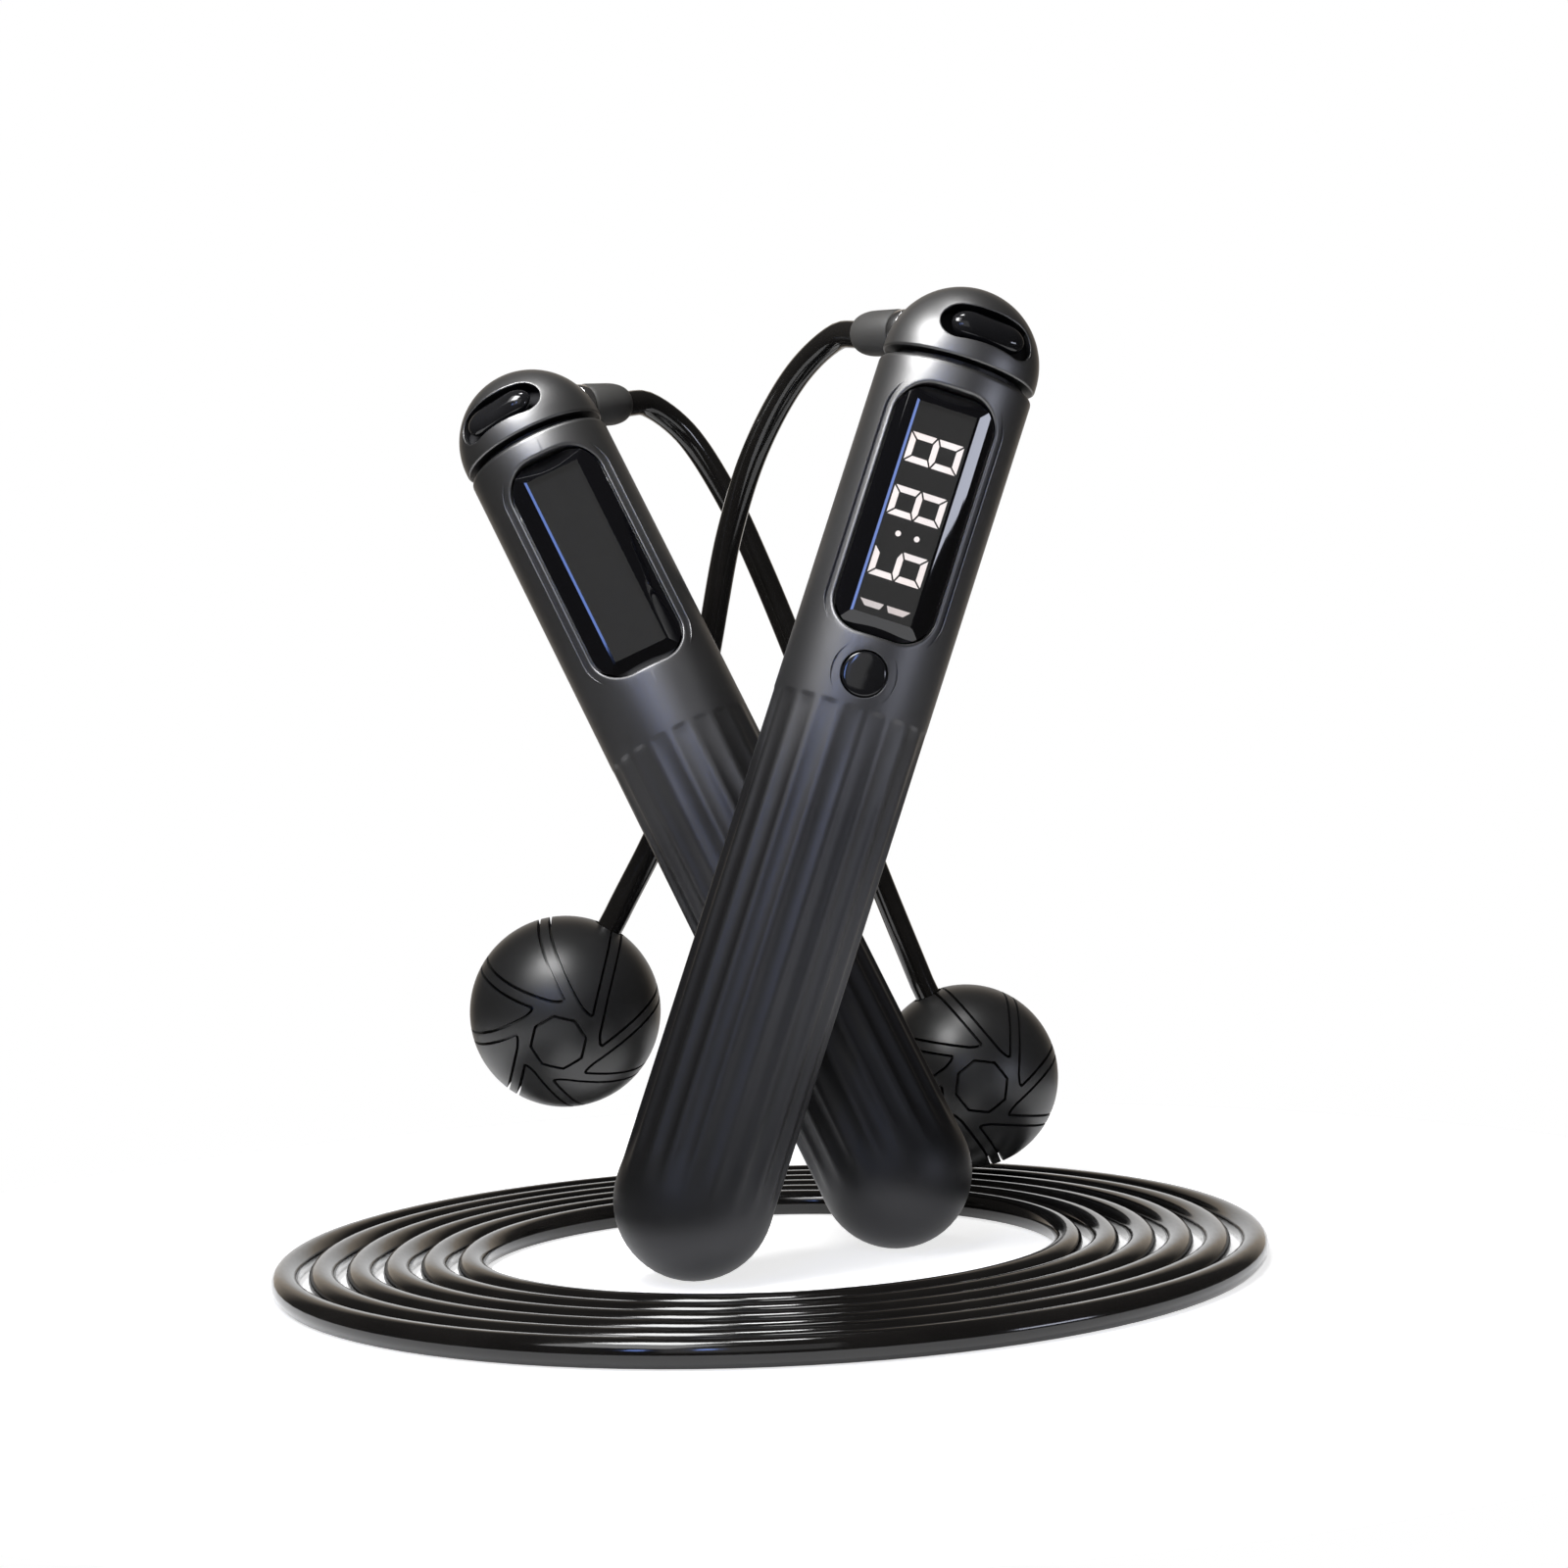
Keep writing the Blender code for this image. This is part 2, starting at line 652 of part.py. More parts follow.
# The slot's frame in the head: Z straight out of the dome, X along the slot
def slot_matrix(turn):
    around = Vector((math.sin(turn), -math.cos(turn), 0))
    outward = around * math.cos(SLOT_LATITUDE) + Vector((0, 0, math.sin(SLOT_LATITUDE)))
    along = Vector((0, 0, 1)).cross(outward).normalized()
    return Matrix((along, outward.cross(along), outward)).transposed().to_4x4()


def make_dome(prefix, pivot, line, slot):
    def up(height):
        return height - EQUATOR

    edge = 0.35 * MM
    profile = arc(HANDLE_RADIUS, math.pi / 2, 0, 8)
    profile[0] = (0, HANDLE_RADIUS)
    profile += [(HANDLE_RADIUS, up(GROOVE_TOP) + edge), (HANDLE_RADIUS - edge, up(GROOVE_TOP))]
    profile += [(BOSS_RADIUS, up(GROOVE_TOP)), (BOSS_RADIUS, up(BEARING_TOP + GAP))]
    profile += [(AXLE_RADIUS + GAP, up(BEARING_TOP + GAP)), (AXLE_RADIUS + GAP, up(AXLE_TOP + GAP))]
    profile += [(0, up(AXLE_TOP + GAP))]
    dome = turned(prefix + "_dome", profile, 28, GUNMETAL, pivot)
    half_x, half_y = SLOT_LENGTH / 2, SLOT_WIDTH / 2
    pocket = box(
        prefix + "_slot_cutter", (-half_x, -half_y, SLOT_FLOOR), (half_x, half_y, HANDLE_RADIUS + MM),
        None, slot, corner=half_y - 0.05 * MM, segments=4,
    )
    channel = rod_profile(STEM_RADIUS + GAP, COLLAR_RING_START, -SLOT_FLOOR - MM)
    seat = rod_profile(SEAT_RADIUS, HANDLE_RADIUS + 3 * MM, COLLAR_RING_START - GAP)
    cut(
        dome,
        pocket,
        turned(prefix + "_channel_cutter", channel, 12, None, line),
        turned(prefix + "_seat_cutter", seat, 20, None, line),
    )


def make_rope_stop(prefix, line, slot):
    """The bead that sits in the dome's slot, with the stem that holds the cord's end."""
    bm = bmesh.new()
    bmesh.ops.create_uvsphere(bm, u_segments=16, v_segments=10, radius=1.0)
    bmesh.ops.rotate(bm, cent=(0, 0, 0), matrix=Matrix.Rotation(math.pi / 2, 3, "Y"), verts=bm.verts)
    bmesh.ops.scale(bm, vec=STOP_HALF, verts=bm.verts)
    bmesh.ops.translate(bm, vec=(0, 0, STOP_DISTANCE), verts=bm.verts)
    bead = finish_mesh(prefix + "_rope_stop", bm, GLOSS_BLACK, slot)
    stem = rod_profile(STEM_RADIUS, CORD_START - GAP, -SLOT_FLOOR)
    join(bead, turned(prefix + "_stem_to_join", stem, 12, None, line))


def make_collar(prefix, line):
    ring = ring_profile(COLLAR_RING_RADIUS, COLLAR_BORE, COLLAR_START - GAP, COLLAR_RING_START)
    turned(prefix + "_collar_ring", ring, 20, STEEL, line)
    corner = COLLAR_RADIUS - COLLAR_ROUND
    rounding = [
        (corner + radius, COLLAR_END - COLLAR_ROUND + height)
        for radius, height in arc(COLLAR_ROUND, math.pi / 2, 0, 4)
    ]
    profile = [(COLLAR_BORE, COLLAR_END), *rounding]
    profile += [(COLLAR_RADIUS, COLLAR_START), (COLLAR_BORE, COLLAR_START)]
    turned(prefix + "_collar", profile, 20, SOFT_BLACK, line)


# The ball's frame: Z out of the hole that its cord comes out of
def ball_matrix(spec):
    matrix = spec["entry"].to_track_quat("Z", "Y").to_matrix().to_4x4()
    matrix.translation = spec["centre"]
    return matrix


def make_ball(prefix, frame):
    bore = CORD_RADIUS + GAP
    mouth = math.acos(bore / BALL_RADIUS)
    inner_mouth = math.acos(bore / BALL_CAVITY)
    inside = arc(BALL_CAVITY, -math.pi / 2, inner_mouth, 7)
    outside = arc(BALL_RADIUS, mouth, -math.pi / 2, 12)
    inside[0] = (0, -BALL_CAVITY)
    outside[-1] = (0, -BALL_RADIUS)
    turned(prefix + "_ball_cover", inside + outside, 22, SOFT_BLACK, frame)
    core_radius = BALL_CAVITY - GAP
    core_floor = CRIMP_BOTTOM - GAP
    core_mouth = math.acos(BALL_CORE_BORE / core_radius)
    core = [(0, core_floor), (BALL_CORE_BORE, core_floor)]
    core += arc(core_radius, core_mouth, -math.pi / 2, 7)[:-1]
    core += [(0, -core_radius)]
    turned(prefix + "_ball_core", core, 16, STEEL, frame)
    crimp = rod_profile(CRIMP_RADIUS, CRIMP_TOP, CRIMP_BOTTOM, chamfer=0.4 * MM)
    turned(prefix + "_cord_crimp", crimp, 12, STEEL, frame)


def smooth_route(points, spacing):
    """Evenly spaced points on a centripetal Catmull-Rom curve through the given points."""
    points = np.array([tuple(point) for point in points])
    ends = [2 * points[0] - points[1], *points, 2 * points[-1] - points[-2]]
    dense = []
    for p0, p1, p2, p3 in zip(ends, ends[1:], ends[2:], ends[3:]):
        t1 = math.sqrt(np.linalg.norm(p1 - p0))
        t2 = t1 + math.sqrt(np.linalg.norm(p2 - p1))
        t3 = t2 + math.sqrt(np.linalg.norm(p3 - p2))
        for t in np.linspace(t1, t2, 24, endpoint=False):
            a1 = (t1 - t) / t1 * p0 + t / t1 * p1
            a2 = (t2 - t) / (t2 - t1) * p1 + (t - t1) / (t2 - t1) * p2
            a3 = (t3 - t) / (t3 - t2) * p2 + (t - t2) / (t3 - t2) * p3
            b1 = (t2 - t) / t2 * a1 + t / t2 * a2
            b2 = (t3 - t) / (t3 - t1) * a2 + (t - t1) / (t3 - t1) * a3
            dense.append((t2 - t) / (t2 - t1) * b1 + (t - t1) / (t2 - t1) * b2)
    dense = np.array([*dense, points[-1]])
    lengths = np.concatenate([[0], np.cumsum(np.linalg.norm(np.diff(dense, axis=0), axis=1))])
    count = max(2, round(lengths[-1] / spacing) + 1)
    wanted = np.linspace(0, lengths[-1], count)
    return np.stack([np.interp(wanted, lengths, dense[:, axis]) for axis in range(3)], axis=1)


def route_length(points):
    return float(np.linalg.norm(np.diff(points, axis=0), axis=1).sum())


def tube_curve(name, points, radius, bevel_resolution, material):
    curve = bpy.data.curves.new(name, "CURVE")
    curve.dimensions = "3D"
    curve.bevel_depth = radius
    curve.bevel_resolution = bevel_resolution
    curve.use_fill_caps = True
    curve.twist_mode = "Z_UP"
    spline = curve.splines.new("POLY")
    spline.points.add(len(points) - 1)
    for point, position in zip(spline.points, points):
        point.co = (*position, 1.0)
    curve.materials.append(material)
    obj = bpy.data.objects.new(name, curve)
    PARTS.objects.link(obj)
    return obj


def make_short_cord(prefix, line_world, ball_world, route):
    """From inside the collar, straight out, along the route, and straight into the ball."""
    start = line_world @ Vector((0, 0, CORD_START))
    out = line_world @ Vector((0, 0, COLLAR_END + CORD_RADIUS / 2))
    lead = line_world @ Vector((0, 0, COLLAR_END + 2.5 * CORD_RADIUS))
    mouth = ball_world @ Vector((0, 0, BALL_RADIUS + CORD_RADIUS))
    end = ball_world @ Vector((0, 0, CRIMP_TOP + GAP))
    free = smooth_route([out, lead, *(Vector(point) * MM for point in route), mouth], CORD_SPACING)
    points = np.vstack([start, free, end])
    tube_curve(prefix + "_short_cord", points, CORD_RADIUS, 2, ROPE_BLACK)
    print(f"{prefix} short cord: {route_length(points) / MM:.1f} mm, {len(points)} points")


def rope_points():
    """The spiral's centre line: a lead that curls inwards, the turns, and a straight run at each end."""
    height = ROPE_RADIUS - ROPE_FLAT
    turns = np.linspace(0, math.tau * ROPE_TURNS, ROPE_TURNS * ROPE_POINTS_PER_TURN + 1)
    lead = np.linspace(-ROPE_LEAD, 0, ROPE_LEAD_POINTS, endpoint=False)
    angles = np.concatenate([lead, turns])
    radii = ROPE_INNER + ROPE_PITCH * angles / math.tau - ROPE_LEAD_CURL * np.minimum(angles, 0) ** 2
    spiral = np.stack(
        [
            COIL_CENTRE.x + radii * np.cos(ROPE_START + angles),
            COIL_CENTRE.y + radii * np.sin(ROPE_START + angles),
            np.full_like(angles, height),
        ],
        axis=1,
    )
    first, last = end_directions(spiral)
    straight = 2 * ROPE_RADIUS
    return np.vstack([spiral[0] + straight * first, spiral, spiral[-1] + straight * last])


def end_directions(points):
    """Unit vectors that point out of the two ends of a line of points."""
    first = points[0] - points[1]
    last = points[-1] - points[-2]
    return first / np.linalg.norm(first), last / np.linalg.norm(last)


def least_self_gap(points, radius):
    """The least distance between stretches of the tube that aren't neighbours, less its diameter."""
    fine = smooth_between(points, 6)
    apart = 3 * ROPE_POINTS_PER_TURN
    nearest = math.inf
    for number, point in enumerate(fine[:-apart]):
        others = fine[number + apart :]
        nearest = min(nearest, float(np.linalg.norm(others - point, axis=1).min()))
    return nearest - 2 * radius


def smooth_between(points, pieces):
    """Each straight stretch of the line, divided into equal pieces."""
    steps = np.linspace(0, 1, pieces, endpoint=False)[:, None]
    return np.vstack([first + steps * (second - first) for first, second in zip(points, points[1:])])


def mesh_of_curve(curve_obj):
    """A mesh object in place of a curve object, its end caps welded on."""
    graph = bpy.context.evaluated_depsgraph_get()
    mesh = bpy.data.meshes.new_from_object(curve_obj.evaluated_get(graph))
    name, matrix = curve_obj.name, curve_obj.matrix_world.copy()
    bpy.data.objects.remove(curve_obj, do_unlink=True)
    bm = bmesh.new()
    bm.from_mesh(mesh)
    bmesh.ops.remove_doubles(bm, verts=bm.verts, dist=0.001 * MM)
    bm.to_mesh(mesh)
    bm.free()
    obj = bpy.data.objects.new(name, mesh)
    PARTS.objects.link(obj)
    obj.matrix_world = matrix
    return obj


def make_long_rope():
    points = rope_points()
    coil = mesh_of_curve(tube_curve("long_rope_coil", points, ROPE_RADIUS, 1, ROPE_BLACK))
    reach = 0.1
    under = box("ground_cutter", (-reach, -reach, -reach), (reach, reach, 0), None, None)
    cut(coil, under)
    for label, end, direction in zip(("inner", "outer"), (points[0], points[-1]), end_directions(points)):
        frame = Vector(direction).to_track_quat("Z", "Y").to_matrix().to_4x4()
        frame.translation = Vector(end)
        profile = rod_profile(ROPE_STOP_RADIUS, GAP + ROPE_STOP_LENGTH, GAP, chamfer=0.8 * MM)
        seat = make_empty(f"long_rope_{label}_end", frame)
        stop = turned(f"long_rope_{label}_stop", profile, 16, GLOSS_BLACK, seat)
        cut(stop, under)
    print(f"long rope: {route_length(points) / MM:.0f} mm, {len(points)} points")
    print(f"long rope: least gap to itself {least_self_gap(points, ROPE_RADIUS) / MM:.2f} mm")
    middle = (points[len(points) // 2] + points[len(points) // 2 + 1]) / 2
    print(f"resting face point: {[round(float(v), 6) for v in middle[:2]]}")


def make_handle(prefix, spec):
    is_display = prefix == "display"
    world = handle_matrix(spec)
    frame = make_empty(prefix + "_handle_axis", world)
    window = make_empty(prefix + "_window_axis", window_matrix(WINDOW_HEIGHT), frame)
    if is_display:
        make_empty("power_button_axis", window_matrix(BUTTON_HEIGHT), frame)
    make_shell(prefix, frame, window, with_button=is_display)
    make_lens(prefix, window)
    if is_display:
        make_display(prefix, window)
        make_electronics(prefix, window)
        make_button()
        make_inner_frame(prefix, window, BOARD_BACK - GAP)
        make_cell("battery_cell", CELL_BLUE, frame, nub=True)
    else:
        half_x, half_y = PANEL_WIDTH / 2, PANEL_LENGTH / 2
        box(
            prefix + "_lens_backing", (-half_x, -half_y, PANEL_BACK), (half_x, half_y, PANEL_FACE),
            SOFT_BLACK, window,
        )
        make_inner_frame(prefix, window, PANEL_BACK - GAP)
        make_cell("balance_weight", STEEL, frame, nub=False)
    make_neck_and_bearing(prefix, frame)

    pivot_local = Matrix.Translation((0, 0, EQUATOR)) @ Matrix.Rotation(
        spec["hand"] * spec["collar_turn"], 4, "Z"
    )
    pivot = make_empty(prefix + "_head_pivot", pivot_local, frame)
    line = make_empty(prefix + "_cord_line", cord_line_matrix(spec["hand"]), pivot)
    slot = make_empty(prefix + "_slot_axis", slot_matrix(-spec["hand"] * SLOT_TURN), pivot)
    make_cage(prefix, pivot)
    make_shaft(prefix, pivot, with_magnet=is_display)
    make_dome(prefix, pivot, line, slot)
    make_rope_stop(prefix, line, slot)
    make_collar(prefix, line)

    ball_spec = BALLS[prefix]
    ball_world = ball_matrix(ball_spec)
    make_ball(prefix, make_empty(prefix + "_ball_axis", ball_world))
    line_world = world @ pivot_local @ cord_line_matrix(spec["hand"])
    make_short_cord(prefix, line_world, ball_world, ball_spec["route"])
    axis = world.to_3x3().col[2]
    print(f"{prefix} handle axis {[round(v, 6) for v in axis]}")
    print(f"{prefix} head pivot {[round(v, 6) for v in (world @ pivot_local).translation]}")
    print(f"{prefix} window faces {[round(-v, 6) for v in world.to_3x3().col[1]]}")


for handle_name, handle_spec in HANDLES.items():
    make_handle(handle_name, handle_spec)
make_long_rope()
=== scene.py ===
# %% [markdown]
# # A jump rope set with two crossed handles
# Two round handles stand crossed inside a flat coil of rope. Each has a head that turns, and a weighted
# ball hangs from each head on a short cord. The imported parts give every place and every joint. This
# lesson loads them as a fixed frame, and then gives each piece its fine shape and its finish.

import json
import math

import bmesh
import bpy
import numpy as np
from mathutils import Matrix, Vector
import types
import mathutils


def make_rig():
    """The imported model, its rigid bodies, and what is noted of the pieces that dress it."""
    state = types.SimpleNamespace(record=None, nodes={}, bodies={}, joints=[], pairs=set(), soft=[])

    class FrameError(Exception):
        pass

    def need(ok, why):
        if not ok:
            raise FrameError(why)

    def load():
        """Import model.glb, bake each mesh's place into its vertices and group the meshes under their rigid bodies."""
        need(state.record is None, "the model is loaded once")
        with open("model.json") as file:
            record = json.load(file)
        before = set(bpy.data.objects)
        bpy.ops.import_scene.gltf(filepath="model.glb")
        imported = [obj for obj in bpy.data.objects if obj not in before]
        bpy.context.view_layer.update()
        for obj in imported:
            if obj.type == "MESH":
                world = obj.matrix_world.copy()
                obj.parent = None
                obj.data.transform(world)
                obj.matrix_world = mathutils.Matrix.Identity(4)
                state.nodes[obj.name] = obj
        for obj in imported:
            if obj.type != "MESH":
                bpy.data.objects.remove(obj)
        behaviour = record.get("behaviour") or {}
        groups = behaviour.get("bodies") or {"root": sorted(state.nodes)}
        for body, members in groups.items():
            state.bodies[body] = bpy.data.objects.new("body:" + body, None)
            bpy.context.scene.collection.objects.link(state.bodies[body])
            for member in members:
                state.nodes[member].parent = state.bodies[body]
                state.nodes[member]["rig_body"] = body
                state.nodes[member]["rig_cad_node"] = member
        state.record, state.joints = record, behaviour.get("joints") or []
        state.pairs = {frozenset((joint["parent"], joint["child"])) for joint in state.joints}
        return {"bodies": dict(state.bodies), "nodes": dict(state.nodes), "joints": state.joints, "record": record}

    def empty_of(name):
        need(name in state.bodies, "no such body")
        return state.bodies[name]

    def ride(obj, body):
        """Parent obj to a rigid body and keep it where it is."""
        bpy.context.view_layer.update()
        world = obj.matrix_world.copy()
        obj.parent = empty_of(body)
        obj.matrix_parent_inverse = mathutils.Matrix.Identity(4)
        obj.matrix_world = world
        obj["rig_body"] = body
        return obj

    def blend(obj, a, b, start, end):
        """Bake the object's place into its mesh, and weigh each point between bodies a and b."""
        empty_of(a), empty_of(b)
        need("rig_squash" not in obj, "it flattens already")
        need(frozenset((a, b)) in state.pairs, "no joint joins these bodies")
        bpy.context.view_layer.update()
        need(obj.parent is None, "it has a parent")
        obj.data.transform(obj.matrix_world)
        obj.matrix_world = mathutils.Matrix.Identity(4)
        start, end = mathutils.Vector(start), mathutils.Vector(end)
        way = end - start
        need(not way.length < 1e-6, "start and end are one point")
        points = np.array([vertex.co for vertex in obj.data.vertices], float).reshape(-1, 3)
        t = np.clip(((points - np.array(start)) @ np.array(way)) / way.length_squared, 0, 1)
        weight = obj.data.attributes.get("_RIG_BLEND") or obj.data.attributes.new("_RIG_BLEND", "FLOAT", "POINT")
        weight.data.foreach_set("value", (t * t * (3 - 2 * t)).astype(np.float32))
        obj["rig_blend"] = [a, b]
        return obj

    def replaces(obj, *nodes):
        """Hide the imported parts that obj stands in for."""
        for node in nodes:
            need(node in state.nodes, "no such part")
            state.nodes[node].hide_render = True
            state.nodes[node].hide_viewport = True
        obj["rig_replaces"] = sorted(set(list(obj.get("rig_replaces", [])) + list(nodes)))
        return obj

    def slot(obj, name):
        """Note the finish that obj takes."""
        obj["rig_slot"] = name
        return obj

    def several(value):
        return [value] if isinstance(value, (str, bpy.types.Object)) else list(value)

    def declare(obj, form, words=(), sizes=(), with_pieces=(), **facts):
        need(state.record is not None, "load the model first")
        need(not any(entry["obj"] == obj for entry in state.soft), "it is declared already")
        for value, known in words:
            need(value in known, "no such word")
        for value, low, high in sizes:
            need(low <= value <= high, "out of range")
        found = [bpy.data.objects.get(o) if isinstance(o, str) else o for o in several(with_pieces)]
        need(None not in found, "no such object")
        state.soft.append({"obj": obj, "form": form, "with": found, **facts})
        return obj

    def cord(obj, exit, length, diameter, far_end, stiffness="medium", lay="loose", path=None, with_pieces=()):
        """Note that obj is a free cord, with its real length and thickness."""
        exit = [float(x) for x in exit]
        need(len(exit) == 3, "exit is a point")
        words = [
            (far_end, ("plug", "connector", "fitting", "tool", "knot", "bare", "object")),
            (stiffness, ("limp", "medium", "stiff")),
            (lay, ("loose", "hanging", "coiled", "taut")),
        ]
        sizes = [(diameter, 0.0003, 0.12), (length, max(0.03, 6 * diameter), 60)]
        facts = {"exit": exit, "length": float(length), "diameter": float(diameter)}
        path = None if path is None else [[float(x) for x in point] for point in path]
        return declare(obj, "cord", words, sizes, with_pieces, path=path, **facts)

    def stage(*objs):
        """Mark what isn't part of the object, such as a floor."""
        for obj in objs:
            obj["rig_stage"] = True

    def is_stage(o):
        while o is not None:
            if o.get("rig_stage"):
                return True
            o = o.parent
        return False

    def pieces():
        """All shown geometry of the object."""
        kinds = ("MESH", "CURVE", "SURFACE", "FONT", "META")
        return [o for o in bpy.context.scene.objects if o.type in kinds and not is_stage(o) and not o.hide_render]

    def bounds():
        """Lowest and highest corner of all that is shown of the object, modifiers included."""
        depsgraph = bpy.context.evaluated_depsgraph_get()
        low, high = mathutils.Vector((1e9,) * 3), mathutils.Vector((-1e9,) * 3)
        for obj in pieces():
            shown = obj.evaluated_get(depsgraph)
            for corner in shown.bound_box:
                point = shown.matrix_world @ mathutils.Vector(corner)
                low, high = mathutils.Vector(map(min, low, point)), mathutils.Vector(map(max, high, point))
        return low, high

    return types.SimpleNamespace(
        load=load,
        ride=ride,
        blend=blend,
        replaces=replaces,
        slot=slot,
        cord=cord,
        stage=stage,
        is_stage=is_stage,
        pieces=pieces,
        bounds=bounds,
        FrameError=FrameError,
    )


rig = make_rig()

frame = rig.load()
cad_box = [list(corner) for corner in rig.bounds()]
scene = bpy.context.scene
MM = 0.001
print(len(frame["nodes"]), "parts on", len(frame["bodies"]), "bodies")

# %% [markdown]
# ## The camera
# The photograph looks almost level at the set from close by, with a slight roll. The three vectors are
# the camera's own right, up and forward directions, found by matching the rings of the coil and the
# round domes. Giving them as a matrix keeps all three in one place.

# %% The camera
CAMERA_RIGHT = Vector((0.99921, -0.01143, -0.03801))
CAMERA_UP = Vector((0.03799, -0.00245, 0.99928))
CAMERA_FORWARD = Vector((0.01151, 0.99993, 0.00201))
camera_data = bpy.data.cameras.new("photo_camera")
camera_data.sensor_width = 36
camera_data.lens = 64.41
camera_data.shift_y = -0.0275
camera_data.clip_start = 0.01
camera = bpy.data.objects.new("photo_camera", camera_data)
camera.matrix_world = Matrix((CAMERA_RIGHT, CAMERA_UP, -CAMERA_FORWARD)).transposed().to_4x4()
camera.matrix_world.translation = Vector((0.05, -457.9, 82.1)) * MM
scene.collection.objects.link(camera)
scene.camera = camera
print("camera at", [round(v, 4) for v in camera.location], "lens", camera_data.lens)

# %% [markdown]
# ## A helper for finishes
# Every finish here is a Principled shader fed by noise in the object's own coordinates. One slow noise
# drifts the colour and the gloss, and one fine noise gives the grain of a moulded or sprayed surface.
# Painted image textures could do the same, but noise needs no unwrapping and looks right at any size.

# %% Nodes and finishes
def add_node(tree, kind, settings=None, **sockets):
    """A node with its settings and sockets; a socket's value may be another node's output."""
    made = tree.nodes.new(kind)
    for name, value in (settings or {}).items():
        setattr(made, name, value)
    for name, value in sockets.items():
        socket = made.inputs[name.replace("_", " ")]
        if isinstance(value, bpy.types.NodeSocket):
            tree.links.new(value, socket)
        else:
            socket.default_value = value
    return made


def colour_ramp(tree, factor, *stops):
    ramp = add_node(tree, "ShaderNodeValToRGB", Fac=factor)
    elements = ramp.color_ramp.elements
    while len(elements) < len(stops):
        elements.new(0.5)
    for element, (place, colour) in zip(elements, stops):
        element.position = place
        element.color = (*colour, 1)
    return ramp.outputs["Color"]


def new_finish(name):
    """An empty material with its Principled shader and the object's coordinates."""
    material = bpy.data.materials.new(name)
    material.use_nodes = True
    tree = material.node_tree
    place = add_node(tree, "ShaderNodeTexCoord").outputs["Object"]
    return material, tree, tree.nodes["Principled BSDF"], place


def grain_bump(tree, shader, place, size, height):
    """Fine grain: size and height in metres."""
    grain = add_node(tree, "ShaderNodeTexNoise", Vector=place, Scale=1 / size, Detail=3.0)
    bump = add_node(tree, "ShaderNodeBump", Height=grain.outputs["Fac"], Strength=1.0, Distance=height)
    tree.links.new(bump.outputs["Normal"], shader.inputs["Normal"])


def grained_finish(name, dark, light, rough, drift=12 * MM, grain=0.25 * MM, relief=0.004 * MM, **constants):
    """A finish whose colour and gloss drift slowly, over a fine grain."""
    material, tree, shader, place = new_finish(name)
    slow = add_node(tree, "ShaderNodeTexNoise", Vector=place, Scale=1 / drift, Detail=5.0)
    factor = slow.outputs["Fac"]
    tree.links.new(colour_ramp(tree, factor, (0.3, dark), (0.7, light)), shader.inputs["Base Color"])
    gloss = add_node(tree, "ShaderNodeMapRange", Value=factor, To_Min=rough[0], To_Max=rough[1])
    tree.links.new(gloss.outputs["Result"], shader.inputs["Roughness"])
    grain_bump(tree, shader, place, grain, relief)
    for socket, value in constants.items():
        shader.inputs[socket.replace("_", " ")].default_value = value
    return material


CORD_FINISH = grained_finish(
    "gloss_black_cord", (0.006, 0.0055, 0.005), (0.011, 0.010, 0.009), (0.07, 0.13), relief=0.002 * MM,
    grain=0.6 * MM,
)
print("finish made:", CORD_FINISH.name)

# %% [markdown]
# ## The frames that everything sits in
# Each handle has a frame whose Z runs up its axis and whose -Y looks out of its window. The head, the
# cord's line through it and the slot in its dome are frames inside that one. Building the frames once
# means that every later piece is drawn upright at the origin and then moved by one matrix.

# %% Handle, head and ball frames
HANDLE_RADIUS = 12.5 * MM
EQUATOR = 149.5 * MM
CORD_TIP = math.atan(0.08)
SLOT_LATITUDE = math.radians(25.5)
SLOT_TURN = math.radians(25)


def columns(x, y, z):
    return Matrix((x, y, z)).transposed().to_4x4()


def handle_frame(foot, lean_side, lean_back, twist):
    axis = Vector((math.tan(math.radians(lean_side)), math.tan(math.radians(lean_back)), 1)).normalized()
    back = (Vector((0, 1, 0)) - axis * axis.y).normalized()
    placed = columns(back.cross(axis), back, axis)
    placed.translation = Vector(foot) * MM + Vector((0, 0, HANDLE_RADIUS)) - axis * HANDLE_RADIUS
    return placed @ Matrix.Rotation(math.radians(twist), 4, "Z")


def face_frame(height):
    """Z out through the window or the button, Y up the handle."""
    return Matrix.Translation((0, 0, height)) @ Matrix.Rotation(math.pi / 2, 4, "X")


def slot_frame(hand):
    """Z straight out of the dome, X along its slot."""
    turn = -hand * SLOT_TURN
    around = Vector((math.sin(turn), -math.cos(turn), 0))
    outward = around * math.cos(SLOT_LATITUDE) + Vector((0, 0, math.sin(SLOT_LATITUDE)))
    along = Vector((0, 0, 1)).cross(outward).normalized()
    return columns(along, outward.cross(along), outward)


def cord_line(hand):
    """Z out of the collar, on the line that the cord takes through the dome."""
    lift = Matrix.Translation((-hand * 4.8 * MM, 0, 4.4 * MM))
    return lift @ Matrix.Rotation(-math.pi / 2 - CORD_TIP, 4, "X")


def ball_frame(centre, entry):
    """Z out of the hole that the ball's cord comes out of."""
    placed = Vector(entry).to_track_quat("Z", "Y").to_matrix().to_4x4()
    placed.translation = Vector(centre) * MM
    return placed


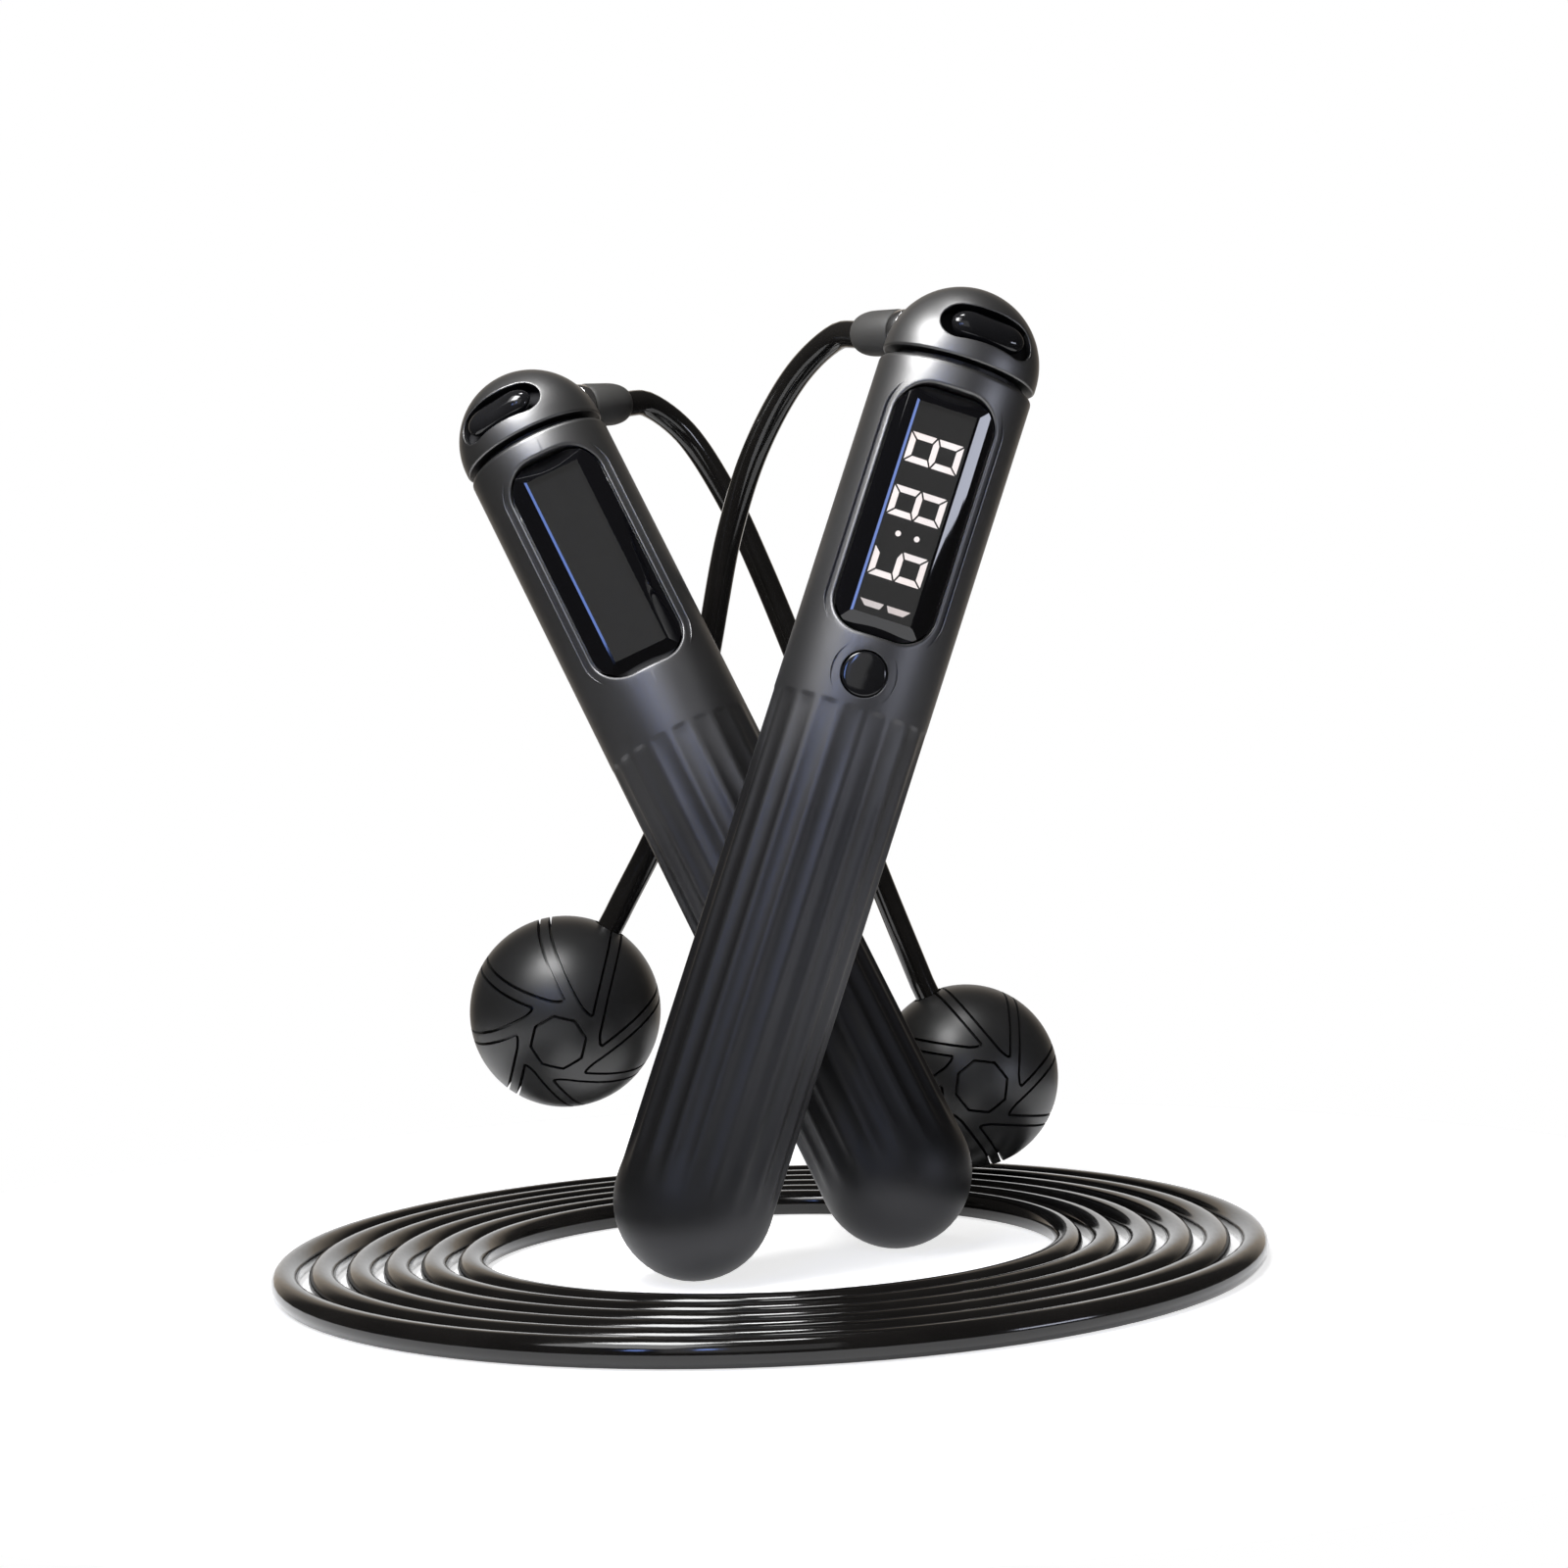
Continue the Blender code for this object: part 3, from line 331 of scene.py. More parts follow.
SETS = {
    "display": {
        "handle": handle_frame((-11.6, -22.8, 0), 20, 3.5, 0),
        "hand": 1,
        "collar_turn": 39,
        "ball": ball_frame((-34.0, 29.3, 37.7), (0.50, -0.02, 0.86)),
        "route": [(10.3, 10, 144.5), (3, 18.1, 133.4), (-2.4, 23.3, 119), (-8.4, 27.7, 93), (-15, 29.1, 72)],
    },
    "plain": {
        "handle": handle_frame((20.7, -1.7, 0), -24.5, 10.5, 5),
        "hand": -1,
        "collar_turn": 46,
        "ball": ball_frame((36.6, 49.6, 21.3), (-0.40, -0.02, 0.92)),
        "route": [(-10, 43, 139.1), (-3.1, 46.9, 128.2), (2.6, 48.7, 115), (12, 49.6, 89), (21, 49.7, 61)],
    },
}
for name, spec in SETS.items():
    turn = Matrix.Rotation(math.radians(spec["hand"] * spec["collar_turn"]), 4, "Z")
    spec["head"] = spec["handle"] @ Matrix.Translation((0, 0, EQUATOR)) @ turn
    spec["line"] = spec["head"] @ cord_line(spec["hand"])
    spec["slot"] = spec["head"] @ slot_frame(spec["hand"])
    print(name, "head at", [round(v / MM, 1) for v in spec["head"].translation], "mm")

# %% [markdown]
# ## Turning a mesh into a piece
# Each finished mesh becomes an object at the origin, rides on one of the frame's bodies, and says which
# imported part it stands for. One helper does this for all of them, so no step is forgotten.

# %% Pieces
def finished(name, bm, material, body=None, stands_for=(), slot=None, sharp=35):
    """The bmesh as a shaded object with its material, riding on its body."""
    mesh = bpy.data.meshes.new(name)
    bm.to_mesh(mesh)
    bm.free()
    mesh.shade_smooth()
    mesh.set_sharp_from_angle(angle=math.radians(sharp))
    mesh.materials.append(material)
    obj = bpy.data.objects.new(name, mesh)
    scene.collection.objects.link(obj)
    if body:
        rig.ride(obj, body)
    if stands_for:
        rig.replaces(obj, *stands_for)
    if slot:
        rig.slot(obj, slot)
    print(f"{name}: {len(mesh.polygons)} faces")
    return obj


def tube_bmesh(points, radius, smoothness=6):
    """A round tube along a line of points."""
    curve = bpy.data.curves.new("tube_line", "CURVE")
    curve.dimensions = "3D"
    curve.bevel_depth = radius
    curve.bevel_resolution = smoothness
    curve.use_fill_caps = True
    spline = curve.splines.new("POLY")
    spline.points.add(len(points) - 1)
    for knot, point in zip(spline.points, points):
        knot.co = (*point, 1)
    carrier = bpy.data.objects.new("tube_line", curve)
    scene.collection.objects.link(carrier)
    mesh = bpy.data.meshes.new_from_object(carrier.evaluated_get(bpy.context.evaluated_depsgraph_get()))
    bpy.data.objects.remove(carrier)
    bm = bmesh.new()
    bm.from_mesh(mesh)
    bmesh.ops.remove_doubles(bm, verts=bm.verts, dist=0.001 * MM)
    bmesh.ops.recalc_face_normals(bm, faces=bm.faces)
    return bm


# %% [markdown]
# ## The short cords
# A short, springy cord leaves each head through its collar, bends down and runs straight into its ball.
# The cord could be a Bezier curve with hand-set handles. Here it is a smooth curve through the route's
# own points, the same ones as in the part, so that the cord lies where its solid is.

# %% Routes through points
def smooth_route(points, spacing):
    """Evenly spaced points on a centripetal Catmull-Rom curve through the given points."""
    points = np.array([tuple(point) for point in points])
    ends = [2 * points[0] - points[1], *points, 2 * points[-1] - points[-2]]
    dense = []
    for p0, p1, p2, p3 in zip(ends, ends[1:], ends[2:], ends[3:]):
        t1 = math.sqrt(np.linalg.norm(p1 - p0))
        t2 = t1 + math.sqrt(np.linalg.norm(p2 - p1))
        t3 = t2 + math.sqrt(np.linalg.norm(p3 - p2))
        for t in np.linspace(t1, t2, 24, endpoint=False):
            a1 = (t1 - t) / t1 * p0 + t / t1 * p1
            a2 = (t2 - t) / (t2 - t1) * p1 + (t - t1) / (t2 - t1) * p2
            a3 = (t3 - t) / (t3 - t2) * p2 + (t - t2) / (t3 - t2) * p3
            b1 = (t2 - t) / t2 * a1 + t / t2 * a2
            b2 = (t3 - t) / (t3 - t1) * a2 + (t - t1) / (t3 - t1) * a3
            dense.append((t2 - t) / (t2 - t1) * b1 + (t - t1) / (t2 - t1) * b2)
    dense = np.array([*dense, points[-1]])
    lengths = np.concatenate([[0], np.cumsum(np.linalg.norm(np.diff(dense, axis=0), axis=1))])
    wanted = np.linspace(0, lengths[-1], max(2, round(lengths[-1] / spacing) + 1))
    return np.stack([np.interp(wanted, lengths, dense[:, axis]) for axis in range(3)], axis=1)


def route_length(points):
    return float(np.linalg.norm(np.diff(points, axis=0), axis=1).sum())


# %% Short cords
CORD_RADIUS = 2.25 * MM


def short_cord(name, spec):
    on_line = [spec["line"] @ Vector((0, 0, z * MM)) for z in (11.2, 21.325, 25.825)]
    mouth = spec["ball"] @ Vector((0, 0, 18.75 * MM))
    end = spec["ball"] @ Vector((0, 0, 3.8 * MM))
    free = smooth_route([*on_line[1:], *(Vector(point) * MM for point in spec["route"]), mouth], 1.6 * MM)
    points = np.vstack([on_line[0], free, end])
    cord = finished(
        name + "_cord", tube_bmesh(points, CORD_RADIUS), CORD_FINISH,
        stands_for=[name + "_short_cord"], slot="rope",
    )
    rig.blend(cord, "rope_set", name + "_head", start=mouth, end=on_line[1])
    return cord, points


CORDS = {name: short_cord(name, spec) for name, spec in SETS.items()}
for name, (cord, points) in CORDS.items():
    print(f"{cord.name}: {route_length(points) / MM:.1f} mm in {len(points)} points")

# %% [markdown]
# ## The long rope
# The long rope is a thick, glossy plastic cord wound into six flat turns. A spiral drawn by its radius
# at each angle gives even gaps, where a stack of separate rings would not be one rope. The tube is
# pressed flat a little where it lies on the table, as a heavy rope is.

# %% The coil
COIL_CENTRE = Vector((-1.4, -8.3, 0)) * MM


def spiral_points(per_turn=96, turns=6, pitch=5.8 * MM, inner=44.4 * MM):
    angles = np.concatenate([np.linspace(-0.25, 0, 12, endpoint=False), np.linspace(0, math.tau * turns, per_turn * turns + 1)])
    radii = inner + pitch * angles / math.tau - 60 * MM * np.minimum(angles, 0) ** 2
    around = math.radians(72) + angles
    points = np.stack(
        [COIL_CENTRE.x + radii * np.cos(around), COIL_CENTRE.y + radii * np.sin(around), np.full_like(around, 1.8 * MM)],
        axis=1,
    )
    first, last = points[0] - points[1], points[-1] - points[-2]
    straight = 2 * CORD_RADIUS
    ends = [points[0] + straight * first / np.linalg.norm(first), points[-1] + straight * last / np.linalg.norm(last)]
    return np.vstack([ends[0], points, ends[1]])


rope_line = spiral_points()
rope_bm = tube_bmesh(rope_line, CORD_RADIUS, smoothness=5)
for vert in rope_bm.verts:
    vert.co.z = max(vert.co.z, 0)
long_rope = finished("long_rope", rope_bm, CORD_FINISH, "rope_set", ["long_rope_coil"], "rope")
print(f"long rope: {route_length(rope_line):.3f} m")

# %% [markdown]
# ## Turned pieces
# Collars, caps, rings and the button are round about one axis, so each is a short profile spun about Z.
# A bevel after the spin breaks the sharp edges, which is what catches the light on a real moulding.

# %% Spinning a profile
def turned(profile, steps=48, matrix=Matrix(), soften=0.0):
    """(radius, height) points spun round Z, moved by the matrix, with sharp edges softened."""
    bm = bmesh.new()
    verts = [bm.verts.new((radius * MM, 0, height * MM)) for radius, height in profile]
    edges = [bm.edges.new(pair) for pair in zip(verts, verts[1:])]
    if profile[0][0] > 0:
        edges.append(bm.edges.new((verts[-1], verts[0])))
    bmesh.ops.spin(
        bm, geom=verts + edges, cent=(0, 0, 0), axis=(0, 0, 1), angle=math.tau, steps=steps, use_merge=True
    )
    bmesh.ops.remove_doubles(bm, verts=bm.verts, dist=0.0005 * MM)
    bmesh.ops.recalc_face_normals(bm, faces=bm.faces)
    if soften:
        sharp = [e for e in bm.edges if e.is_manifold and e.calc_face_angle() > math.radians(40)]
        bmesh.ops.bevel(
            bm, geom=sharp, offset=soften * MM, segments=3, profile=0.5, affect="EDGES", material=-1
        )
    bmesh.ops.transform(bm, matrix=matrix, verts=bm.verts)
    return bm


# %% Rope end caps
CAP_FINISH = grained_finish("gloss_black_moulding", (0.008, 0.008, 0.009), (0.013, 0.013, 0.014), (0.08, 0.14), relief=0.001 * MM)


def rope_cap(name, end, before):
    """A cap pressed on the end of the rope, flat where it lies on the table."""
    out = Vector(end) - Vector(before)
    placed = out.to_track_quat("Z", "Y").to_matrix().to_4x4()
    placed.translation = Vector(end)
    profile = [(0, 7.3), (1.9, 7.3), (2.7, 6.5), (2.7, 1.0), (2.5, 0.3), (0, 0.3)]
    bm = turned(profile, 32, placed, soften=0.3)
    for vert in bm.verts:
        vert.co.z = max(vert.co.z, 0)
    return finished(name + "_cap", bm, CAP_FINISH, "rope_set", [name + "_stop"], "gloss_black")


rope_caps = [
    rope_cap("long_rope_inner", rope_line[0], rope_line[1]),
    rope_cap("long_rope_outer", rope_line[-1], rope_line[-2]),
]

# %% [markdown]
# ## Openings with soft lips
# The handle has a window and a button hole, and the dome has a slot and a seat for the collar. A Boolean
# would cut them, but it leaves knife edges, and a bevel on the ragged mesh beside a cut goes wrong. So
# the skin is drawn flat first, as a sheet with the openings already in it, and then wrapped round. The
# edge of each opening is one clean loop, which is extruded over a quarter circle to make the lip.

# %% Sheets with openings
def add_outline(bm, core, radius, segments=64, longest=0.6 * MM):
    """A rounded rectangle, slot or circle: a circle whose quarters are moved apart by the core."""
    first_vert, first_edge = len(bm.verts), len(bm.edges)
    ring = bmesh.ops.create_circle(
        bm, cap_ends=False, segments=segments, radius=radius, matrix=Matrix.Rotation(math.pi / segments, 4, "Z")
    )["verts"]
    for vert in ring:
        vert.co.x += math.copysign(core[0], vert.co.x)
        vert.co.y += math.copysign(core[1], vert.co.y)
    while long_edges := [edge for edge in bm.edges[:][first_edge:] if edge.calc_length() > longest]:
        bmesh.ops.subdivide_edges(bm, edges=long_edges, cuts=1)
    return bm.verts[:][first_vert:]


def flat_sheet(low, high, openings, unroll):
    """A flat sheet from corner to corner, with each opening's outline left out."""
    bm = bmesh.new()
    for opening in openings:
        for vert in add_outline(bm, opening["core"], opening["radius"] + opening["lip"]):
            vert.co = unroll(opening, vert.co)
    corners = bmesh.ops.create_grid(bm, x_segments=1, y_segments=1, size=0.5)["verts"]
    for vert in corners:
        vert.co = Vector((high[0] if vert.co.x > 0 else low[0], high[1] if vert.co.y > 0 else low[1], 0))
    bmesh.ops.delete(bm, geom=bm.faces[:], context="FACES_ONLY")
    bmesh.ops.triangle_fill(bm, use_beauty=True, use_dissolve=False, edges=bm.edges[:], normal=(0, 0, 1))
    return bm


def rule_lines(bm, direction, places):
    """Cuts the sheet along parallel lines, so that it can bend there."""
    for place in places:
        bmesh.ops.bisect_plane(
            bm, geom=bm.verts[:] + bm.edges[:] + bm.faces[:], dist=0.0001 * MM,
            plane_co=direction * place, plane_no=direction,
        )


def extrude_loop(bm, edges, moved):
    """Extrudes a loop of edges and moves each new vertex; gives the new loop."""
    made = bmesh.ops.extrude_edge_only(bm, edges=edges)["geom"]
    for item in made:
        if isinstance(item, bmesh.types.BMVert):
            item.co = moved(item.co)
    return [item for item in made if isinstance(item, bmesh.types.BMEdge)]


def turn_in(bm, opening, level, steps=4):
    """Rounds an opening's edge over its lip and takes its wall down to its floor."""
    inverse = opening["frame"].inverted()
    core, radius, lip = opening["core"], opening["radius"], opening["lip"]

    def split(point):
        """The nearest point of the core and the way out from it."""
        at = inverse @ point
        inner = Vector((max(-core[0], min(core[0], at.x)), max(-core[1], min(core[1], at.y))))
        return inner, at.xy - inner, at.z

    def near(vert):
        _, out, height = split(vert.co)
        return abs(out.length - radius - lip) < 0.15 * MM and height > opening["floor"]

    edges = [e for e in bm.edges if e.is_boundary and near(e.verts[0]) and near(e.verts[1])]
    for vert in {v for e in edges for v in e.verts}:
        inner, out, _ = split(vert.co)
        spot = inner + out.normalized() * (radius + lip)
        vert.co = opening["frame"] @ Vector((*spot, level(spot)))
    for step in range(1, steps + 1):
        angle = math.pi / 2 * step / steps

        def onto_lip(point):
            inner, out, _ = split(point)
            spot = inner + out.normalized() * (radius + lip * (1 - math.sin(angle)))
            return opening["frame"] @ Vector((*spot, level(spot) - lip * (1 - math.cos(angle))))

        edges = extrude_loop(bm, edges, onto_lip)

    def onto_floor(point):
        at = inverse @ point
        return opening["frame"] @ Vector((at.x, at.y, opening["floor"]))

    return extrude_loop(bm, edges, onto_floor)


# %% [markdown]
# ## The handles' skins
# The handle is a hollow aluminium or moulded tube with a round foot, twenty shallow flutes for grip, and
# a soft shoulder under the head. The flat sheet is wrapped round the axis, and the flutes come from
# drawing each point in by the depth of the flute that it is in, which keeps their edges smooth where
# they fade out. Solidify then gives the skin its wall.

# %% The satin paint
def satin_paint(name):
    """Dark metallic paint, drier and darker down the grip, by the height kept on each point: partly a darker grip and
    partly painted shade towards the foot, and painted shade in the dome's openings, whose sunk points read as lowest.
    """
    material, tree, shader, place = new_finish(name)
    height = add_node(tree, "ShaderNodeAttribute", {"attribute_name": "height"}).outputs["Fac"]
    up = add_node(tree, "ShaderNodeMapRange", Value=height, From_Min=0.0, From_Max=0.15).outputs["Result"]
    cloud = add_node(tree, "ShaderNodeTexNoise", Vector=place, Scale=60.0, Detail=4.0).outputs["Fac"]
    drift = add_node(tree, "ShaderNodeMath", {"operation": "MULTIPLY_ADD"})
    tree.links.new(cloud, drift.inputs[0])
    drift.inputs[1].default_value = 0.10
    tree.links.new(up, drift.inputs[2])
    # The ramp is tone and painted shade together: the grip is darker, and the shade towards the foot and in the dome's
    # openings is painted in.
    tone_and_painted_shade = colour_ramp(
        tree, drift.outputs["Value"],
        (0.05, (0.040, 0.040, 0.042)), (0.55, (0.085, 0.085, 0.090)), (0.72, (0.170, 0.170, 0.174)),
        (1.0, (0.215, 0.214, 0.214)),
    )
    tree.links.new(tone_and_painted_shade, shader.inputs["Base Color"])
    dry = add_node(tree, "ShaderNodeMapRange", Value=drift.outputs["Value"], To_Min=0.50, To_Max=0.44)
    tree.links.new(dry.outputs["Result"], shader.inputs["Roughness"])
    shader.inputs["Metallic"].default_value = 1.0
    grain_bump(tree, shader, place, 0.18 * MM, 0.0035 * MM)
    return material


SATIN = satin_paint("satin_gunmetal_paint")

# %% Wrapping a handle
FLUTES = 20
COLUMNS = 12 * FLUTES
RIM = 147.4 * MM
SHOULDER = 0.9 * MM


def flute_depth(angle, height):
    """How far the skin is drawn in: a round channel with a step at its top, that runs out at its foot."""
    across = (angle * FLUTES / math.tau) % 1.0
    aside = (min(across, 1 - across)) * math.tau * HANDLE_RADIUS / FLUTES
    up_from_foot, down_from_top = (height - 13.5 * MM) / (7 * MM), 92.4 * MM - height
    step = min(1.0, down_from_top / (0.8 * MM)) * 0.13 * MM
    deepest = min(0.48 * MM, 0.48 * MM * up_from_foot, step + 0.02 * down_from_top)
    return max(0.0, deepest) * max(0.0, 1 - (aside / (1.55 * MM)) ** 2)


def unroll_handle(opening, point):
    return Vector((HANDLE_RADIUS * math.asin(point.x / HANDLE_RADIUS), opening["height"] + point.y, 0))


def handle_openings(with_button):
    window = {"core": (2.8 * MM, 14.7 * MM), "radius": 5.3 * MM, "lip": 0.6 * MM, "height": 123.35 * MM}
    button = {"core": (0, 0), "radius": 3.7 * MM, "lip": 0.1 * MM, "height": 97.3 * MM}
    openings = [window, button] if with_button else [window]
    for opening in openings:
        opening["frame"] = face_frame(opening["height"])
        opening["floor"] = (7.6 if opening is window else 9.2) * MM
    return openings


def handle_skin(with_button):
    reach = math.pi * HANDLE_RADIUS
    openings = handle_openings(with_button)
    bm = flat_sheet((-reach, HANDLE_RADIUS), (reach, RIM - SHOULDER), openings, unroll_handle)
    rule_lines(bm, Vector((1, 0, 0)), np.linspace(-reach, reach, COLUMNS + 1)[1:-1])
    fades = [np.linspace(13.5, 20.5, 12), [30, 45, 60, 74, 78, 82, 86, 90], np.linspace(91.6, 92.5, 8), [93, 100, 112, 124, 136]]
    rule_lines(bm, Vector((0, 1, 0)), np.concatenate(fades) * MM)
    for vert in bm.verts:
        angle, height = vert.co.x / HANDLE_RADIUS, vert.co.y
        radius = HANDLE_RADIUS - flute_depth(angle, height)
        vert.co = Vector((radius * math.sin(angle), -radius * math.cos(angle), height))
    bmesh.ops.remove_doubles(bm, verts=bm.verts, dist=0.001 * MM)
    for opening in openings:
        turn_in(bm, opening, lambda spot: math.sqrt(HANDLE_RADIUS**2 - spot.x**2))
    return bm


def close_handle(bm, steps=14):
    """Takes the lower edge round the foot, and the upper edge over the shoulder."""
    def level(edge, height):
        return all(abs(vert.co.z - height) < 0.01 * MM for vert in edge.verts)

    def ring(radius, height):
        def moved(point):
            return Vector((*(point.xy.normalized() * radius), height))
        return moved

    foot = [e for e in bm.edges if e.is_boundary and level(e, HANDLE_RADIUS)]
    for step in range(1, steps + 1):
        angle = math.pi / 2 * step / steps
        radius = max(HANDLE_RADIUS * math.cos(angle), 1e-9)
        foot = extrude_loop(bm, foot, ring(radius, HANDLE_RADIUS * (1 - math.sin(angle))))
    shoulder = [e for e in bm.edges if e.is_boundary and level(e, RIM - SHOULDER)]
    for step in range(1, 6):
        angle = math.pi / 2 * step / 5
        radius = HANDLE_RADIUS - SHOULDER * (1 - math.cos(angle))
        shoulder = extrude_loop(bm, shoulder, ring(radius, RIM - SHOULDER * (1 - math.sin(angle))))
    bmesh.ops.remove_doubles(bm, verts=bm.verts, dist=0.001 * MM)


def add_height_and_shade(obj, frame_matrix, shaded_recess=lambda point: False):
    """Keeps each point's height up the handle, for the paint to read; a point in a shaded recess counts as low, and so
    dark, which is painted shade in the dome's slot and seat.
    """
    inverse = frame_matrix.inverted()
    heights = [0.0 if shaded_recess(vert.co) else (inverse @ vert.co).z for vert in obj.data.vertices]
    obj.data.attributes.new("height", "FLOAT", "POINT").data.foreach_set("value", heights)


# %% Both handles
for name, spec in SETS.items():
    bm = handle_skin(with_button=name == "display")
    close_handle(bm)
    bmesh.ops.transform(bm, matrix=spec["handle"], verts=bm.verts)
    skin = finished(name + "_handle_skin", bm, SATIN, "rope_set", [name + "_shell"], "gunmetal_shell", sharp=50)
    add_height_and_shade(skin, spec["handle"])
    wall = skin.modifiers.new("Wall", "SOLIDIFY")
    wall.thickness = 1.5 * MM
    wall.offset = -1
    spec["skin"] = skin

# %% [markdown]
# ## The domes
# The head of each handle is a round dome with a long slot in its front, where the cord's stop shows, and
# a seat at its side for the collar. It is drawn as a flat sheet of longitude and latitude, and wrapped on
# the sphere. The seam of the sheet is put where there is no opening.

# %% Wrapping a dome
DOME_COLUMNS = 144
DOME_FOOT = 0.4 * MM
DOME_BASE = -1.0 * MM


def dome_openings(hand):
    slot = {"core": (4.5 * MM, 0), "radius": 3.2 * MM, "lip": 0.3 * MM, "floor": 8.0 * MM, "frame": slot_frame(hand)}
    seat = {"core": (0, 0), "radius": 3.9 * MM, "lip": 0.12 * MM, "floor": 8.2 * MM, "frame": cord_line(hand)}
    return [slot, seat]


def sphere_level(opening):
    """The height of the sphere's surface over a spot, in the opening's own frame."""
    centre = opening["frame"].inverted().translation

    def level(spot):
        return centre.z + math.sqrt(HANDLE_RADIUS**2 - (spot - centre.xy).length_squared)

    return level


def dome_skin(hand):
    seam = 0.0 if hand > 0 else math.pi

    def unroll(opening, point):
        at = opening["frame"] @ Vector((point.x, point.y, sphere_level(opening)(point.xy)))
        longitude = (math.atan2(at.y, at.x) - seam) % math.tau
        latitude = math.asin(max(-1, min(1, at.z / HANDLE_RADIUS)))
        return Vector((HANDLE_RADIUS * longitude, HANDLE_RADIUS * latitude, 0))

    openings = dome_openings(hand)
    around, top = math.tau * HANDLE_RADIUS, math.pi / 2 * HANDLE_RADIUS
    bm = flat_sheet((0, DOME_BASE + DOME_FOOT), (around, top), openings, unroll)
    rule_lines(bm, Vector((1, 0, 0)), np.linspace(0, around, DOME_COLUMNS + 1)[1:-1])
    rule_lines(bm, Vector((0, 1, 0)), np.linspace(0, top, 33)[:-1])
    for vert in bm.verts:
        longitude, latitude = vert.co.x / HANDLE_RADIUS + seam, max(vert.co.y, 0) / HANDLE_RADIUS
        flat = HANDLE_RADIUS * math.cos(latitude)
        low = min(vert.co.y, 0)
        vert.co = Vector((flat * math.cos(longitude), flat * math.sin(longitude), HANDLE_RADIUS * math.sin(latitude) + low))
    bmesh.ops.remove_doubles(bm, verts=bm.verts, dist=0.001 * MM)
    for opening in openings:
        bmesh.ops.edgeloop_fill(bm, edges=turn_in(bm, opening, sphere_level(opening)))
    return bm


def close_dome(bm):
    """Rounds the dome's lower edge and closes its base."""
    edges = [e for e in bm.edges if e.is_boundary]
    rings = [(HANDLE_RADIUS - DOME_FOOT * (1 - math.cos(a)), DOME_BASE + DOME_FOOT * (1 - math.sin(a))) for a in np.linspace(0, math.pi / 2, 4)[1:]]
    for radius, height in [*rings, (3.2 * MM, DOME_BASE)]:
        edges = extrude_loop(bm, edges, lambda point: Vector((*(point.xy.normalized() * radius), height)))
    bmesh.ops.edgeloop_fill(bm, edges=edges)
    bmesh.ops.recalc_face_normals(bm, faces=bm.faces)


for name, spec in SETS.items():
    bm = dome_skin(spec["hand"])
    close_dome(bm)
    bmesh.ops.transform(bm, matrix=spec["head"], verts=bm.verts)
    dome = finished(name + "_dome_skin", bm, SATIN, name + "_head", [name + "_dome"], "gunmetal_shell", sharp=50)
    centre = spec["head"].translation
    # Points sunk inside the sphere, on the slot's and the seat's walls, count as low: painted shade in these openings.
    add_height_and_shade(dome, spec["handle"], lambda point: (point - centre).length < HANDLE_RADIUS - 0.25 * MM)

# %% [markdown]
# ## Beads, collars and rings
# The end of each cord is held by a long glossy bead that lies in the slot. On the other side the cord
# comes out through a bullet-nosed collar of matt rubber with a bright ring at its root. The bead is a
# sphere pulled out into a capsule; the others are spun.

# %% Beads
def capsule(half):
    """A sphere with its poles on X, its two halves drawn apart, at the given half sizes."""
    bm = bmesh.new()
    bmesh.ops.create_uvsphere(bm, u_segments=40, v_segments=25, radius=1.0)
    bmesh.ops.rotate(bm, cent=(0, 0, 0), matrix=Matrix.Rotation(math.pi / 2, 3, "Y"), verts=bm.verts)
    nose = 1.45 * half[1]
    bmesh.ops.scale(bm, vec=(nose, half[1], half[2]), verts=bm.verts)
    for side in (-1, 1):
        moving = [vert for vert in bm.verts if vert.co.x * side > 0]
        bmesh.ops.translate(bm, vec=(side * (half[0] - nose), 0, 0), verts=moving)
    return bm


for name, spec in SETS.items():
    bm = capsule(Vector((6.1, 2.45, 2.0)) * MM)
    bmesh.ops.transform(bm, matrix=spec["slot"] @ Matrix.Translation((0, 0, 10.4 * MM)), verts=bm.verts)
    finished(name + "_bead", bm, CAP_FINISH, name + "_head", [name + "_rope_stop"], "gloss_black")

# %% Collars and their rings
RUBBER = grained_finish(
    "matt_black_rubber", (0.050, 0.049, 0.046), (0.068, 0.066, 0.062), (0.55, 0.66), grain=0.12 * MM, relief=0.006 * MM
)
BRIGHT_RING = grained_finish(
    "bright_ring", (0.50, 0.50, 0.51), (0.66, 0.66, 0.67), (0.20, 0.30), grain=0.08 * MM, relief=0.001 * MM, Metallic=1.0
)
NOSE = [(2.4 + 1.3 * math.cos(a), 16.2 + 4.0 * math.sin(a)) for a in np.linspace(math.pi / 2, 0, 9)]
COLLAR = [*NOSE, (3.7, 11.3), (3.4, 10.75), (2.4, 10.75)]
RING = [(3.6, 10.4), (3.6, 8.5), (2.55, 8.5), (2.55, 10.4)]
for name, spec in SETS.items():
    head = name + "_head"
    finished(name + "_collar_sleeve", turned(COLLAR, 48, spec["line"], 0.1), RUBBER, head, [name + "_collar"], "matte_black")
    finished(name + "_collar_band", turned(RING, 48, spec["line"], 0.12), BRIGHT_RING, head, [name + "_collar_ring"], "steel")
